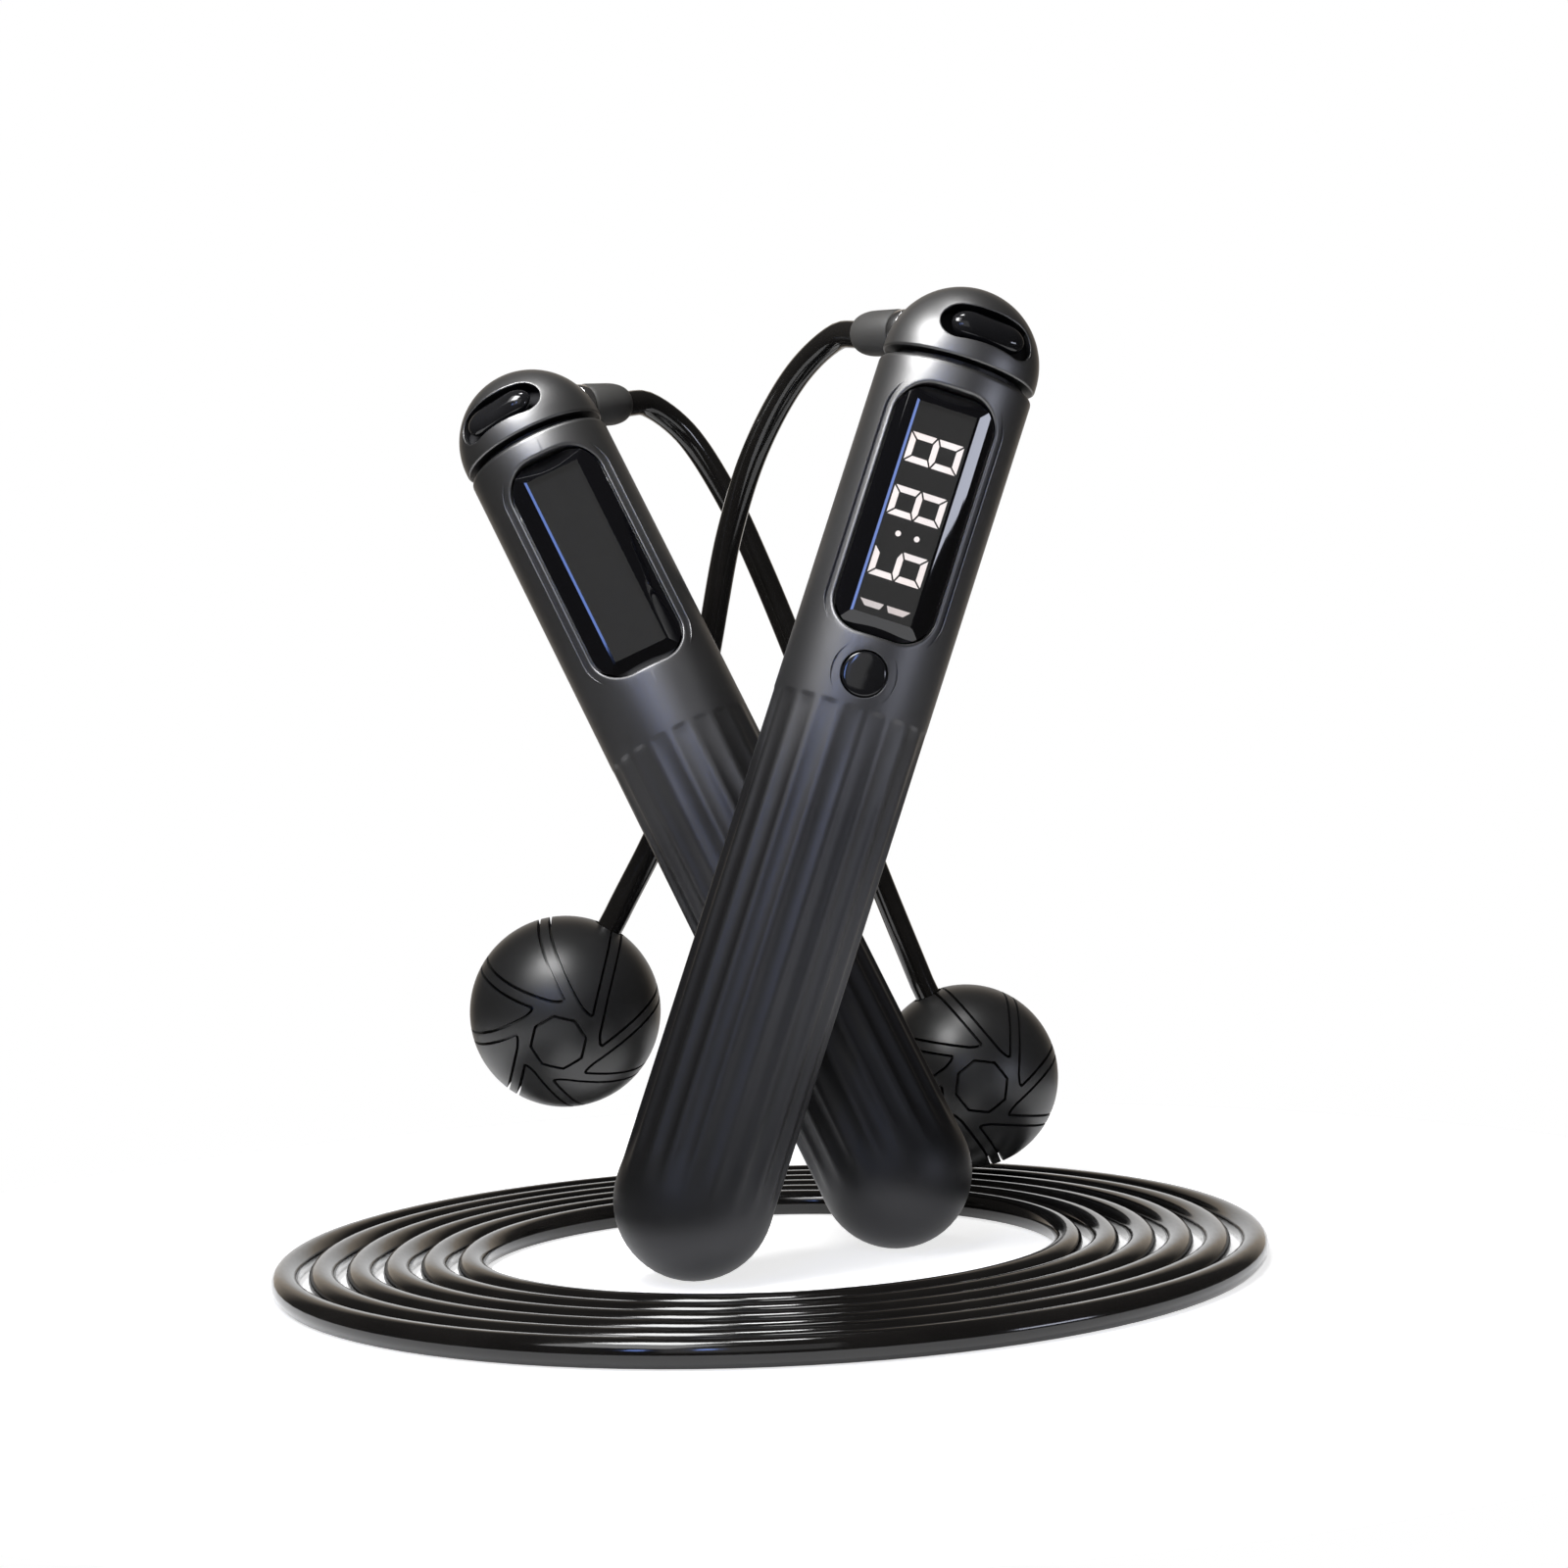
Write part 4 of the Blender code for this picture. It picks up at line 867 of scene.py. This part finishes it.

# %% [markdown]
# ## Lenses and the display
# Each window is filled by a smoked lens with a flat face and slanted facets. Behind the front one, white
# segments shine through. The flat face is clear enough to see them, because it is real smoked plastic: the
# tint is the colour of its transmission. The facets and ends are opaque near-black, painted shade for the
# inside of the window behind them. Its rim follows the round handle, and its face is flat.

# %% Smoked lens
def smoked_lens(name):
    material, tree, shader, place = new_finish(name)
    smoke = add_node(tree, "ShaderNodeTexNoise", Vector=place, Scale=120.0, Detail=2.0).outputs["Fac"]
    tint = colour_ramp(tree, smoke, (0.3, (0.20, 0.20, 0.21)), (0.7, (0.24, 0.24, 0.25)))
    # Faces that are not clear take near-black instead of the tint and let no light through: painted shade for the
    # inside of the window seen through the facets and ends.
    dark = add_node(tree, "ShaderNodeMix", {"data_type": "RGBA"})
    tree.links.new(tint, dark.inputs[7])
    dark.inputs[6].default_value = (0.003, 0.003, 0.004, 1)
    tree.links.new(dark.outputs[2], shader.inputs["Base Color"])
    shine = add_node(tree, "ShaderNodeMapRange", Value=smoke, To_Min=0.02, To_Max=0.05)
    tree.links.new(shine.outputs["Result"], shader.inputs["Roughness"])
    clear = add_node(tree, "ShaderNodeAttribute", {"attribute_name": "clear"}).outputs["Fac"]
    tree.links.new(clear, dark.inputs[0])
    tree.links.new(clear, shader.inputs["Transmission Weight"])
    shader.inputs["IOR"].default_value = 1.49
    shader.inputs["Specular IOR Level"].default_value = 0.62
    return material


LENS_CROWN = 12.2 * MM
LENS_FLAT = 11.2 * MM
END_SLANT = math.radians(24)


def lens_planes():
    """Where the lens is milled, as points and outward directions: its face, its two edges and its two ends."""
    edge = math.sqrt(LENS_CROWN**2 - LENS_FLAT**2)
    slant = math.asin(edge / LENS_CROWN) / 2
    planes = [(Vector((0, 0, LENS_FLAT)), Vector((0, 0, 1)))]
    for side in (-1, 1):
        planes.append((Vector((side * edge, 0, LENS_FLAT - 0.045 * MM)), Vector((side * math.sin(slant), 0, math.cos(slant)))))
        planes.append((Vector((0, side * 17.0 * MM, LENS_FLAT)), Vector((0, side * math.sin(END_SLANT), math.cos(END_SLANT)))))
    return planes


def lens_bmesh():
    """A round-topped bar with a flat milled along it, its edges broken and its ends slanted."""
    bm = bmesh.new()
    add_outline(bm, (2.8 * MM, 14.7 * MM), 5.0 * MM, segments=48, longest=1.2 * MM)
    bmesh.ops.edgeloop_fill(bm, edges=bm.edges[:])
    rule_lines(bm, Vector((1, 0, 0)), np.arange(-7.2, 7.3, 0.8) * MM)
    bmesh.ops.translate(bm, vec=(0, 0, 8.4 * MM), verts=bm.verts)
    made = bmesh.ops.extrude_face_region(bm, geom=bm.faces[:], use_keep_orig=True)["geom"]
    for vert in (item for item in made if isinstance(item, bmesh.types.BMVert)):
        vert.co.z = math.sqrt(LENS_CROWN**2 - vert.co.x**2)
    for place, out in lens_planes():
        cut = bmesh.ops.bisect_plane(
            bm, geom=bm.verts[:] + bm.edges[:] + bm.faces[:], dist=0.0001 * MM, plane_co=place, plane_no=out,
            clear_outer=True,
        )["geom_cut"]
        bmesh.ops.edgeloop_fill(bm, edges=[item for item in cut if isinstance(item, bmesh.types.BMEdge)])
    bm.normal_update()
    bmesh.ops.recalc_face_normals(bm, faces=bm.faces)
    back = [face for face in bm.faces if all(vert.co.z < 8.5 * MM for vert in face.verts)]
    bmesh.ops.dissolve_faces(bm, faces=back)
    return bm


LENS = smoked_lens("smoked_lens")
for name, spec in SETS.items():
    spec["window"] = spec["handle"] @ face_frame(123.35 * MM)
    bm = lens_bmesh()
    bmesh.ops.transform(bm, matrix=spec["window"], verts=bm.verts)
    lens = finished(name + "_smoked_lens", bm, LENS, "rope_set", [name + "_lens"], "dark_lens", sharp=8)
    outward = spec["window"].col[2].xyz
    # Only the faces parallel to the window, the flat face and the back, are clear; the facets and ends stay opaque
    # near-black, painted shade for the inside of the window behind them.
    clear = [1.0 if abs(face.normal.dot(outward)) > 0.9999 else 0.0 for face in lens.data.polygons]
    lens.data.attributes.new("clear", "FLOAT", "FACE").data.foreach_set("value", clear)

# %% Panels behind the lenses
PANEL_FINISH = grained_finish("black_panel", (0.004, 0.004, 0.005), (0.007, 0.007, 0.008), (0.35, 0.45), relief=0.002 * MM)


def panel_bmesh():
    """A module with a thin black flange that masks the inside of the handle: a dark sheet that stands in for the shade
    inside, behind the lens.
    """
    bm = bmesh.new()
    bmesh.ops.create_cube(bm, size=1.0)
    bmesh.ops.scale(bm, vec=(13.0 * MM, 36.5 * MM, 1.25 * MM), verts=bm.verts)
    bmesh.ops.translate(bm, vec=(0, 0, 6.975 * MM), verts=bm.verts)
    shade_flange = bmesh.new()
    add_outline(shade_flange, (2.8 * MM, 14.7 * MM), 4.9 * MM, segments=32, longest=20 * MM)
    bmesh.ops.edgeloop_fill(shade_flange, edges=shade_flange.edges[:])
    made = bmesh.ops.extrude_face_region(shade_flange, geom=shade_flange.faces[:], use_keep_orig=True)["geom"]
    bmesh.ops.translate(shade_flange, vec=(0, 0, 0.35 * MM), verts=[v for v in made if isinstance(v, bmesh.types.BMVert)])
    bmesh.ops.translate(shade_flange, vec=(0, 0, 7.6 * MM), verts=shade_flange.verts)
    bmesh.ops.recalc_face_normals(shade_flange, faces=shade_flange.faces)
    mesh = bpy.data.meshes.new("shade_flange")
    shade_flange.to_mesh(mesh)
    shade_flange.free()
    bm.from_mesh(mesh)
    return bm


for name, node in (("display", "display_led_module"), ("plain", "plain_lens_backing")):
    bm = panel_bmesh()
    bmesh.ops.transform(bm, matrix=SETS[name]["window"], verts=bm.verts)
    finished(name + "_panel", bm, PANEL_FINISH, "rope_set", [node], "matte_black")

# %% Lit segments
SEGMENTS_LIT = {"1": "bc", "6": "acdefg", "8": "abcdefg"}
TALL, WIDE, BAR = 7.55 * MM, 3.75 * MM, 1.25 * MM


def lit_segments_finish(name):
    """White light through a diffuser, as strong as the glow kept on each point."""
    material, tree, shader, place = new_finish(name)
    uneven = add_node(tree, "ShaderNodeTexNoise", Vector=place, Scale=150.0).outputs["Fac"]
    white = colour_ramp(tree, uneven, (0.25, (1.0, 0.88, 0.82)), (0.65, (1.0, 0.94, 0.90)))
    tree.links.new(white, shader.inputs["Emission Color"])
    tree.links.new(white, shader.inputs["Base Color"])
    glow = add_node(tree, "ShaderNodeAttribute", {"attribute_name": "glow"}).outputs["Fac"]
    tree.links.new(glow, shader.inputs["Emission Strength"])
    shader.inputs["Roughness"].default_value = 0.5
    return material


def digit_bars(centre):
    """The outlines of the seven bars of a digit that lies across the handle with its head to the left."""
    half = BAR / 2
    top, foot = -TALL / 2, TALL / 2
    reach = WIDE / 2
    head_bar = [(top - half, -reach - half), (top - half, reach + half), (top + half, reach - half), (top + half, half - reach)]
    side_bar = [(top - half, reach + half), (0, reach + half), (-half, reach - half), (top + half, reach - half)]
    cross_bar = [(-half, half - reach), (-half, reach - half), (0, reach + half), (half, reach - half), (half, half - reach), (0, -reach - half)]
    flips = {"a": (head_bar, 1, 1), "b": (side_bar, 1, 1), "c": (side_bar, -1, 1), "d": (head_bar, -1, 1),
             "e": (side_bar, -1, -1), "f": (side_bar, 1, -1), "g": (cross_bar, 1, 1)}
    return {letter: [(x * sx, y * sy + centre) for x, y in bar] for letter, (bar, sx, sy) in flips.items()}


def add_bar(bm, outline, glow, level=7.98 * MM):
    """A bar filled from its outline, less a gap all round, and raised a little."""
    face = bm.faces.new([bm.verts.new((x, y, level)) for x, y in outline])
    face.normal_update()
    border = bmesh.ops.inset_individual(bm, faces=[face], thickness=0.15 * MM, use_even_offset=True)["faces"]
    bmesh.ops.delete(bm, geom=border, context="FACES")
    made = bmesh.ops.extrude_face_region(bm, geom=[face], use_keep_orig=True)["geom"]
    raised = [item for item in made if isinstance(item, bmesh.types.BMVert)]
    bmesh.ops.translate(bm, vec=(0, 0, 0.22 * MM), verts=raised)
    for vert in (*face.verts, *raised):
        vert[bm.verts.layers.float["glow"]] = glow


bm = bmesh.new()
bm.verts.layers.float.new("glow")
for shown, centre, glow in (("1", -17.0, 3.0), ("6", -8.35, 4.3), ("8", 1.45, 4.6), ("8", 10.1, 4.6)):
    spans = digit_bars(centre * MM)
    for letter in SEGMENTS_LIT[shown]:
        add_bar(bm, spans[letter], glow)
for side in (-1, 1):
    dot = Matrix.Translation((side * TALL / 5, -3.45 * MM, 8.09 * MM))
    made = bmesh.ops.create_cone(
        bm, cap_ends=True, segments=24, radius1=0.43 * MM, radius2=0.43 * MM, depth=0.22 * MM, matrix=dot
    )["verts"]
    for vert in made:
        vert[bm.verts.layers.float["glow"]] = 4.6
bmesh.ops.recalc_face_normals(bm, faces=bm.faces)
bmesh.ops.transform(bm, matrix=SETS["display"]["window"], verts=bm.verts)
finished("display_segments", bm, lit_segments_finish("lit_segments"), "rope_set", slot="lit_display")

# %% [markdown]
# ## The button
# One round button sits just under the window, level with the skin. Its face is slightly domed, and it
# is a spun profile with a soft edge.

# %% The button
BUTTON_TOP = 12.42
BUTTON = [
    (0, BUTTON_TOP), (0.8, BUTTON_TOP), (1.6, BUTTON_TOP), (2.4, BUTTON_TOP), (3.1, BUTTON_TOP), (3.35, 12.36), (3.5, 12.2),
    (3.5, 10.6), (3.5, 9.5), (4.4, 9.5), (4.4, 8.9), (1.2, 8.9), (1.2, 8.0), (0, 8.0),
]
bm = turned(BUTTON, 64)
for vert in bm.verts:
    if vert.co.z > 11 * MM:
        vert.co.z += math.sqrt((BUTTON_TOP * MM) ** 2 - vert.co.x**2) - BUTTON_TOP * MM
bmesh.ops.transform(bm, matrix=SETS["display"]["handle"] @ face_frame(97.3 * MM), verts=bm.verts)
finished("power_button_cap", bm, CAP_FINISH, "power_button", ["power_button"], "gloss_black")

# %% [markdown]
# ## The weighted balls
# The balls have a rubber cover with thin grooves: an eight-sided ring on each face, and eight long panels
# whose narrow bands sweep round from one face to the other. The grooves could be painted, but then they
# would vanish from the side. Each groove is a line on the sphere, given the thickness of a wire and cut
# away. One panel's line is worked out, and the rest are that line turned about the pole.

# %% Groove lines on the ball
BALL_RADIUS = 16.5 * MM
BAND = 1.47 * MM


def on_ball(distance, turn):
    """The point at a distance over the surface from the pole, at an angle round it."""
    polar = distance / BALL_RADIUS
    return BALL_RADIUS * np.stack([np.sin(polar) * np.cos(turn), np.sin(polar) * np.sin(turn), np.cos(polar)], axis=-1)


def band_edge(side, first_turn):
    """One edge of a sweeping band, from near the ring to the ball's equator."""
    distance = np.linspace(5.75 * MM, math.pi / 2 * BALL_RADIUS + 0.4 * MM, 400)
    turn = np.arccos(np.minimum(5.73 * MM / distance, 1)) - math.radians(7.7) * (distance - 6 * MM) / (22 * MM)
    middle = on_ball(distance, first_turn + turn)
    along = np.gradient(middle, axis=0)
    aside = np.cross(middle, along)
    aside /= np.linalg.norm(aside, axis=1)[:, None]
    edge = middle + side * BAND / 2 * aside
    return BALL_RADIUS * edge / np.linalg.norm(edge, axis=1)[:, None]


def thinned(points, spacing):
    lengths = np.concatenate([[0], np.cumsum(np.linalg.norm(np.diff(points, axis=0), axis=1))])
    wanted = np.linspace(0, lengths[-1], max(3, round(lengths[-1] / spacing) + 1))
    return np.stack([np.interp(wanted, lengths, points[:, axis]) for axis in range(3)], axis=1)


def panel_groove():
    """The closed line round one panel: out from its tip along both edges, and the same behind."""
    near, far = band_edge(1, 0.0), band_edge(-1, math.tau / 8)
    gaps = np.linalg.norm(near[:160, None] - far[None, :160], axis=2)
    i, j = np.unravel_index(gaps.argmin(), gaps.shape)
    tip = (near[i] + far[j]) / 2
    near, far = near[i:], far[j:]
    near, far = near[near[:, 2] > 0], far[far[:, 2] > 0]
    cut = 14
    t = np.linspace(0, 1, 7)[:, None]
    bend = (1 - t) ** 2 * far[cut] + 2 * t * (1 - t) * tip + t**2 * near[cut]
    bend *= BALL_RADIUS / np.linalg.norm(bend, axis=1)[:, None]
    front = np.vstack([thinned(far[cut:], 0.9 * MM)[::-1], bend[1:-1], thinned(near[cut:], 0.9 * MM)])
    ends = front[0] + front[-1]
    axis = Vector((ends[0], ends[1], 0)).normalized()
    behind = front @ np.array(Matrix.Rotation(math.pi, 3, axis)).T
    return np.vstack([front, behind]), axis


def ball_grooves():
    line, half_turn = panel_groove()
    lines = [line @ np.array(Matrix.Rotation(math.tau * k / 8, 3, "Z")).T for k in range(8)]
    corners = on_ball(np.full(9, 5.05 * MM), math.pi / 8 + math.tau * np.arange(9) / 8)
    ring = np.vstack([a + np.linspace(0, 1, 5, endpoint=False)[:, None] * (b - a) for a, b in zip(corners, corners[1:])])
    ring *= BALL_RADIUS / np.linalg.norm(ring, axis=1)[:, None]
    return [*lines, ring, ring @ np.array(Matrix.Rotation(math.pi, 3, half_turn)).T]


groove_lines = ball_grooves()
print(len(groove_lines), "grooves,", sum(len(line) for line in groove_lines), "points")

# %% Cutting the grooves
def mesh_object(name, bm):
    mesh = bpy.data.meshes.new(name)
    bm.to_mesh(mesh)
    bm.free()
    obj = bpy.data.objects.new(name, mesh)
    scene.collection.objects.link(obj)
    return obj


def cut_away(body_bm, *tool_bms):
    """The body less each tool, worked out by Booleans; the first tool may cross itself."""
    body = mesh_object("to_cut", body_bm)
    tools = [mesh_object("tool", tool) for tool in tool_bms]
    for tool in tools:
        boolean = body.modifiers.new("Cut", "BOOLEAN")
        boolean.operation = "DIFFERENCE"
        boolean.solver = "EXACT"
        boolean.use_self = tool is tools[0]
        boolean.object = tool
    graph = bpy.context.evaluated_depsgraph_get()
    mesh = bpy.data.meshes.new_from_object(body.evaluated_get(graph))
    for obj in (body, *tools):
        bpy.data.objects.remove(obj)
    result = bmesh.new()
    result.from_mesh(mesh)
    return result


def pole_matrix(tilt, roll):
    """The pole of the pattern, looking at the camera and tipped right and up by two angles."""
    pole = -CAMERA_FORWARD + CAMERA_RIGHT * math.tan(math.radians(tilt[0])) + CAMERA_UP * math.tan(math.radians(tilt[1]))
    pole.normalize()
    side = (CAMERA_RIGHT - pole * pole.dot(CAMERA_RIGHT)).normalized()
    return columns(side, pole.cross(side), pole) @ Matrix.Rotation(math.radians(roll), 4, "Z")


def groove_blades():
    """The groove lines drawn outwards from inside the cover, and given the width of the groove."""
    bm = bmesh.new()
    for line in groove_lines:
        verts = [bm.verts.new(Vector(point) * 0.90) for point in line]
        edges = [bm.edges.new(pair) for pair in zip(verts, [*verts[1:], verts[0]])]
        extrude_loop(bm, edges, lambda point: point * (1.04 / 0.90))
    bmesh.ops.recalc_face_normals(bm, faces=bm.faces)
    bmesh.ops.solidify(bm, geom=bm.faces[:], thickness=0.5 * MM)
    bmesh.ops.recalc_face_normals(bm, faces=bm.faces)
    return bm


def grooved_ball(spec, tilt, roll):
    pattern = pole_matrix(tilt, roll)
    cover = bmesh.new()
    bmesh.ops.create_uvsphere(cover, u_segments=128, v_segments=80, radius=BALL_RADIUS)
    bmesh.ops.transform(cover, matrix=pattern, verts=cover.verts)
    blades = groove_blades()
    bmesh.ops.transform(blades, matrix=pattern, verts=blades.verts)
    hollow = bmesh.new()
    bmesh.ops.create_uvsphere(hollow, u_segments=48, v_segments=24, radius=12.5 * MM)
    turn = spec["ball"].to_3x3().to_4x4()
    bore = turned([(0, 20), (3.1, 20), (2.85, 16.3), (2.55, 15.9), (2.55, 8), (0, 8)], 48, turn)
    return cut_away(cover, blades, hollow, bore)


BALL_SKIN = grained_finish(
    "matt_black_ball_cover", (0.012, 0.012, 0.012), (0.018, 0.018, 0.018), (0.36, 0.44), grain=0.22 * MM, relief=0.006 * MM,
    Specular_IOR_Level=0.7
)
PATTERNS = {"display": ((0, -14), -13.5), "plain": ((6, 0), -6.5)}
for name, spec in SETS.items():
    bm = grooved_ball(spec, *PATTERNS[name])
    bmesh.ops.translate(bm, vec=spec["ball"].translation, verts=bm.verts)
    spec["ball_skin"] = finished(name + "_ball_skin", bm, BALL_SKIN, "rope_set", [name + "_ball_cover"], "ball_cover", sharp=40)

# %% [markdown]
# ## What the cords are
# The frame wants to know which pieces are free cords, how long they are and what is on their ends, so
# that they can be laid out again elsewhere.

# %% Declaring the cords
for name, spec in SETS.items():
    cord, points = CORDS[name]
    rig.cord(
        cord, exit=points[0], length=round(route_length(points), 4), diameter=2 * CORD_RADIUS, far_end="fitting",
        stiffness="stiff", lay="hanging", path=points,
        with_pieces=[spec["ball_skin"], name + "_ball_core", name + "_cord_crimp"],
    )
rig.cord(
    long_rope, exit=rope_line[0], length=round(route_length(rope_line), 3), diameter=2 * CORD_RADIUS,
    far_end="fitting", stiffness="medium", lay="coiled", path=rope_line, with_pieces=rope_caps,
)

# %% [markdown]
# ## Finishes for the parts inside
# The bearings, the axle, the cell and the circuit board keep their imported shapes, since only a cut
# through the handle would show them. They still get real finishes: brushed steel, a printed board, a
# shrink-wrapped cell and plain moulded plastic.

# %% Finishes inside
STEEL = grained_finish(
    "ground_steel", (0.46, 0.46, 0.47), (0.60, 0.60, 0.61), (0.18, 0.34), drift=3 * MM, grain=0.1 * MM, relief=0.002 * MM, Metallic=1.0
)
PLASTIC = grained_finish("black_plastic", (0.010, 0.010, 0.011), (0.016, 0.016, 0.017), (0.42, 0.55), relief=0.004 * MM)
WRAP = grained_finish("cell_wrap", (0.045, 0.090, 0.250), (0.065, 0.120, 0.310), (0.25, 0.35), relief=0.002 * MM)


def board_finish(name):
    """Green lacquer over a pattern of copper tracks."""
    material, tree, shader, place = new_finish(name)
    tracks = add_node(tree, "ShaderNodeTexBrick", Vector=place, Scale=240.0, Mortar_Size=0.03)
    tracks.inputs["Color1"].default_value = (0.010, 0.075, 0.030, 1)
    tracks.inputs["Color2"].default_value = (0.014, 0.095, 0.040, 1)
    tracks.inputs["Mortar"].default_value = (0.030, 0.170, 0.070, 1)
    tree.links.new(tracks.outputs["Color"], shader.inputs["Base Color"])
    bump = add_node(tree, "ShaderNodeBump", Height=tracks.outputs["Fac"], Strength=0.5, Distance=0.02 * MM)
    tree.links.new(bump.outputs["Normal"], shader.inputs["Normal"])
    shader.inputs["Roughness"].default_value = 0.3
    return material


BOARD = board_finish("printed_board")
INSIDE = {
    "bearing": STEEL, "axle": STEEL, "magnet": STEEL, "ball_core": STEEL, "cord_crimp": STEEL, "balance_weight": STEEL,
    "battery_cell": WRAP, "circuit_board": BOARD,
}
plain_nodes = 0
for node_name, node in frame["nodes"].items():
    if node.hide_render:
        continue
    finish = next((value for key, value in INSIDE.items() if key in node_name), PLASTIC)
    node.data.materials.clear()
    node.data.materials.append(finish)
    plain_nodes += 1
print(plain_nodes, "packed parts given a finish")

# %% [markdown]
# ## Floor and light
# The photograph has a white ground and a white backdrop, a large soft light from the upper left and a
# dark room behind the camera, which is what makes the black pieces look black. The world is white where
# the backdrop is, and grey towards the camera. The camera itself sees white all round.

# %% The floor
def floor_finish():
    material, tree, shader, place = new_finish("white_sweep")
    mottle = add_node(tree, "ShaderNodeTexNoise", Vector=place, Scale=3.0).outputs["Fac"]
    tree.links.new(colour_ramp(tree, mottle, (0.3, (0.88, 0.88, 0.88)), (0.7, (0.90, 0.90, 0.90))), shader.inputs["Base Color"])
    shader.inputs["Roughness"].default_value = 0.9
    shader.inputs["Specular IOR Level"].default_value = 0.1
    seen = seen_directly(tree)
    lift = add_node(tree, "ShaderNodeMath", {"operation": "MULTIPLY"})
    tree.links.new(seen, lift.inputs[0])
    lift.inputs[1].default_value = 0.75
    tree.links.new(lift.outputs["Value"], shader.inputs["Emission Strength"])
    shader.inputs["Emission Color"].default_value = (1, 1, 1, 1)
    return material


def seen_directly(tree):
    """1 for rays from the camera, a mirror or a lens, and 0 for the others."""
    path = add_node(tree, "ShaderNodeLightPath").outputs
    seen = path["Is Camera Ray"]
    for kind in ("Is Glossy Ray", "Is Transmission Ray"):
        more = add_node(tree, "ShaderNodeMath", {"operation": "MAXIMUM"})
        tree.links.new(seen, more.inputs[0])
        tree.links.new(path[kind], more.inputs[1])
        seen = more.outputs["Value"]
    return seen


bm = bmesh.new()
bmesh.ops.create_circle(bm, cap_ends=True, segments=128, radius=0.18)
bmesh.ops.translate(bm, vec=(0, 0, -0.2 * MM), verts=bm.verts)
floor = finished("floor", bm, floor_finish())
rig.stage(floor)

# %% The backdrop and the lights
world = bpy.data.worlds.new("white_backdrop")
scene.world = world
world.use_nodes = True
sky = world.node_tree
direction = add_node(sky, "ShaderNodeTexCoord").outputs["Generated"]
away = add_node(sky, "ShaderNodeSeparateXYZ", Vector=direction).outputs["Y"]
wall = add_node(
    sky, "ShaderNodeMapRange", {"interpolation_type": "SMOOTHSTEP"}, Value=away, From_Min=0.70, From_Max=1.0
)
reflected = add_node(sky, "ShaderNodeMath", {"operation": "MULTIPLY"})
sky.links.new(wall.outputs["Result"], reflected.inputs[0])
sky.links.new(seen_directly(sky), reflected.inputs[1])
seen = add_node(sky, "ShaderNodeMath", {"operation": "MAXIMUM"})
sky.links.new(reflected.outputs["Value"], seen.inputs[0])
sky.links.new(add_node(sky, "ShaderNodeLightPath").outputs["Is Camera Ray"], seen.inputs[1])
backdrop = colour_ramp(sky, seen.outputs["Value"], (0.0, (0.06, 0.057, 0.054)), (0.8, (0.74, 0.64, 0.53)), (1.0, (1, 1, 1)))
sky.links.new(backdrop, sky.nodes["Background"].inputs["Color"])


def soft_light(name, place, size, power, colour=(1, 1, 1), aim=(0, 0, 100), roll=0):
    """A rectangular soft light, given in millimetres, that the camera doesn't see."""
    data = bpy.data.lights.new(name, "AREA")
    data.shape = "RECTANGLE"
    data.size, data.size_y = (side * MM for side in size)
    data.energy = power
    data.color = colour
    light = bpy.data.objects.new(name, data)
    out = (Vector(place) - Vector(aim)).to_track_quat("Z", "Y").to_matrix().to_4x4()
    light.matrix_world = out @ Matrix.Rotation(math.radians(roll), 4, "Z")
    light.location = Vector(place) * MM
    light.visible_camera = False
    scene.collection.objects.link(light)


soft_light("near_key", (-80, -95, 268), (80, 80), 0.42)
soft_light("far_key", (-270, -310, 560), (320, 320), 1.3)
soft_light("front_fill", (-41, -490, 300), (340, 320), 0.22)
soft_light("top", (0, -60, 680), (110, 80), 0.8)
soft_light("right_window", (416, -259, 81), (155, 48), 0.24, (0.80, 0.84, 1.0), aim=(30, -27, 115))
soft_light("blue_strip_front", (-97, -400, 253), (28, 80), 0.085, (0.25, 0.40, 1.0), aim=(24, -28, 118))
soft_light("blue_strip_rear", (-215, -400, 231), (32, 80), 0.088, (0.25, 0.40, 1.0), aim=(-27, 5, 113))
scene.view_settings.view_transform = "Standard"

# %% [markdown]
# ## The end
# The box of the finished model is written beside that of the imported parts, so that the two can be
# compared.

# %% Sizes and the last line
visual_box = [list(corner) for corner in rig.bounds()]
with open("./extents.json", "w") as sizes:
    json.dump({"cad": cad_box, "visual": visual_box}, sizes)
print("box grew by", [round((b - a) / MM, 2) for a, b in zip(sum(cad_box, []), sum(visual_box, []))], "mm")
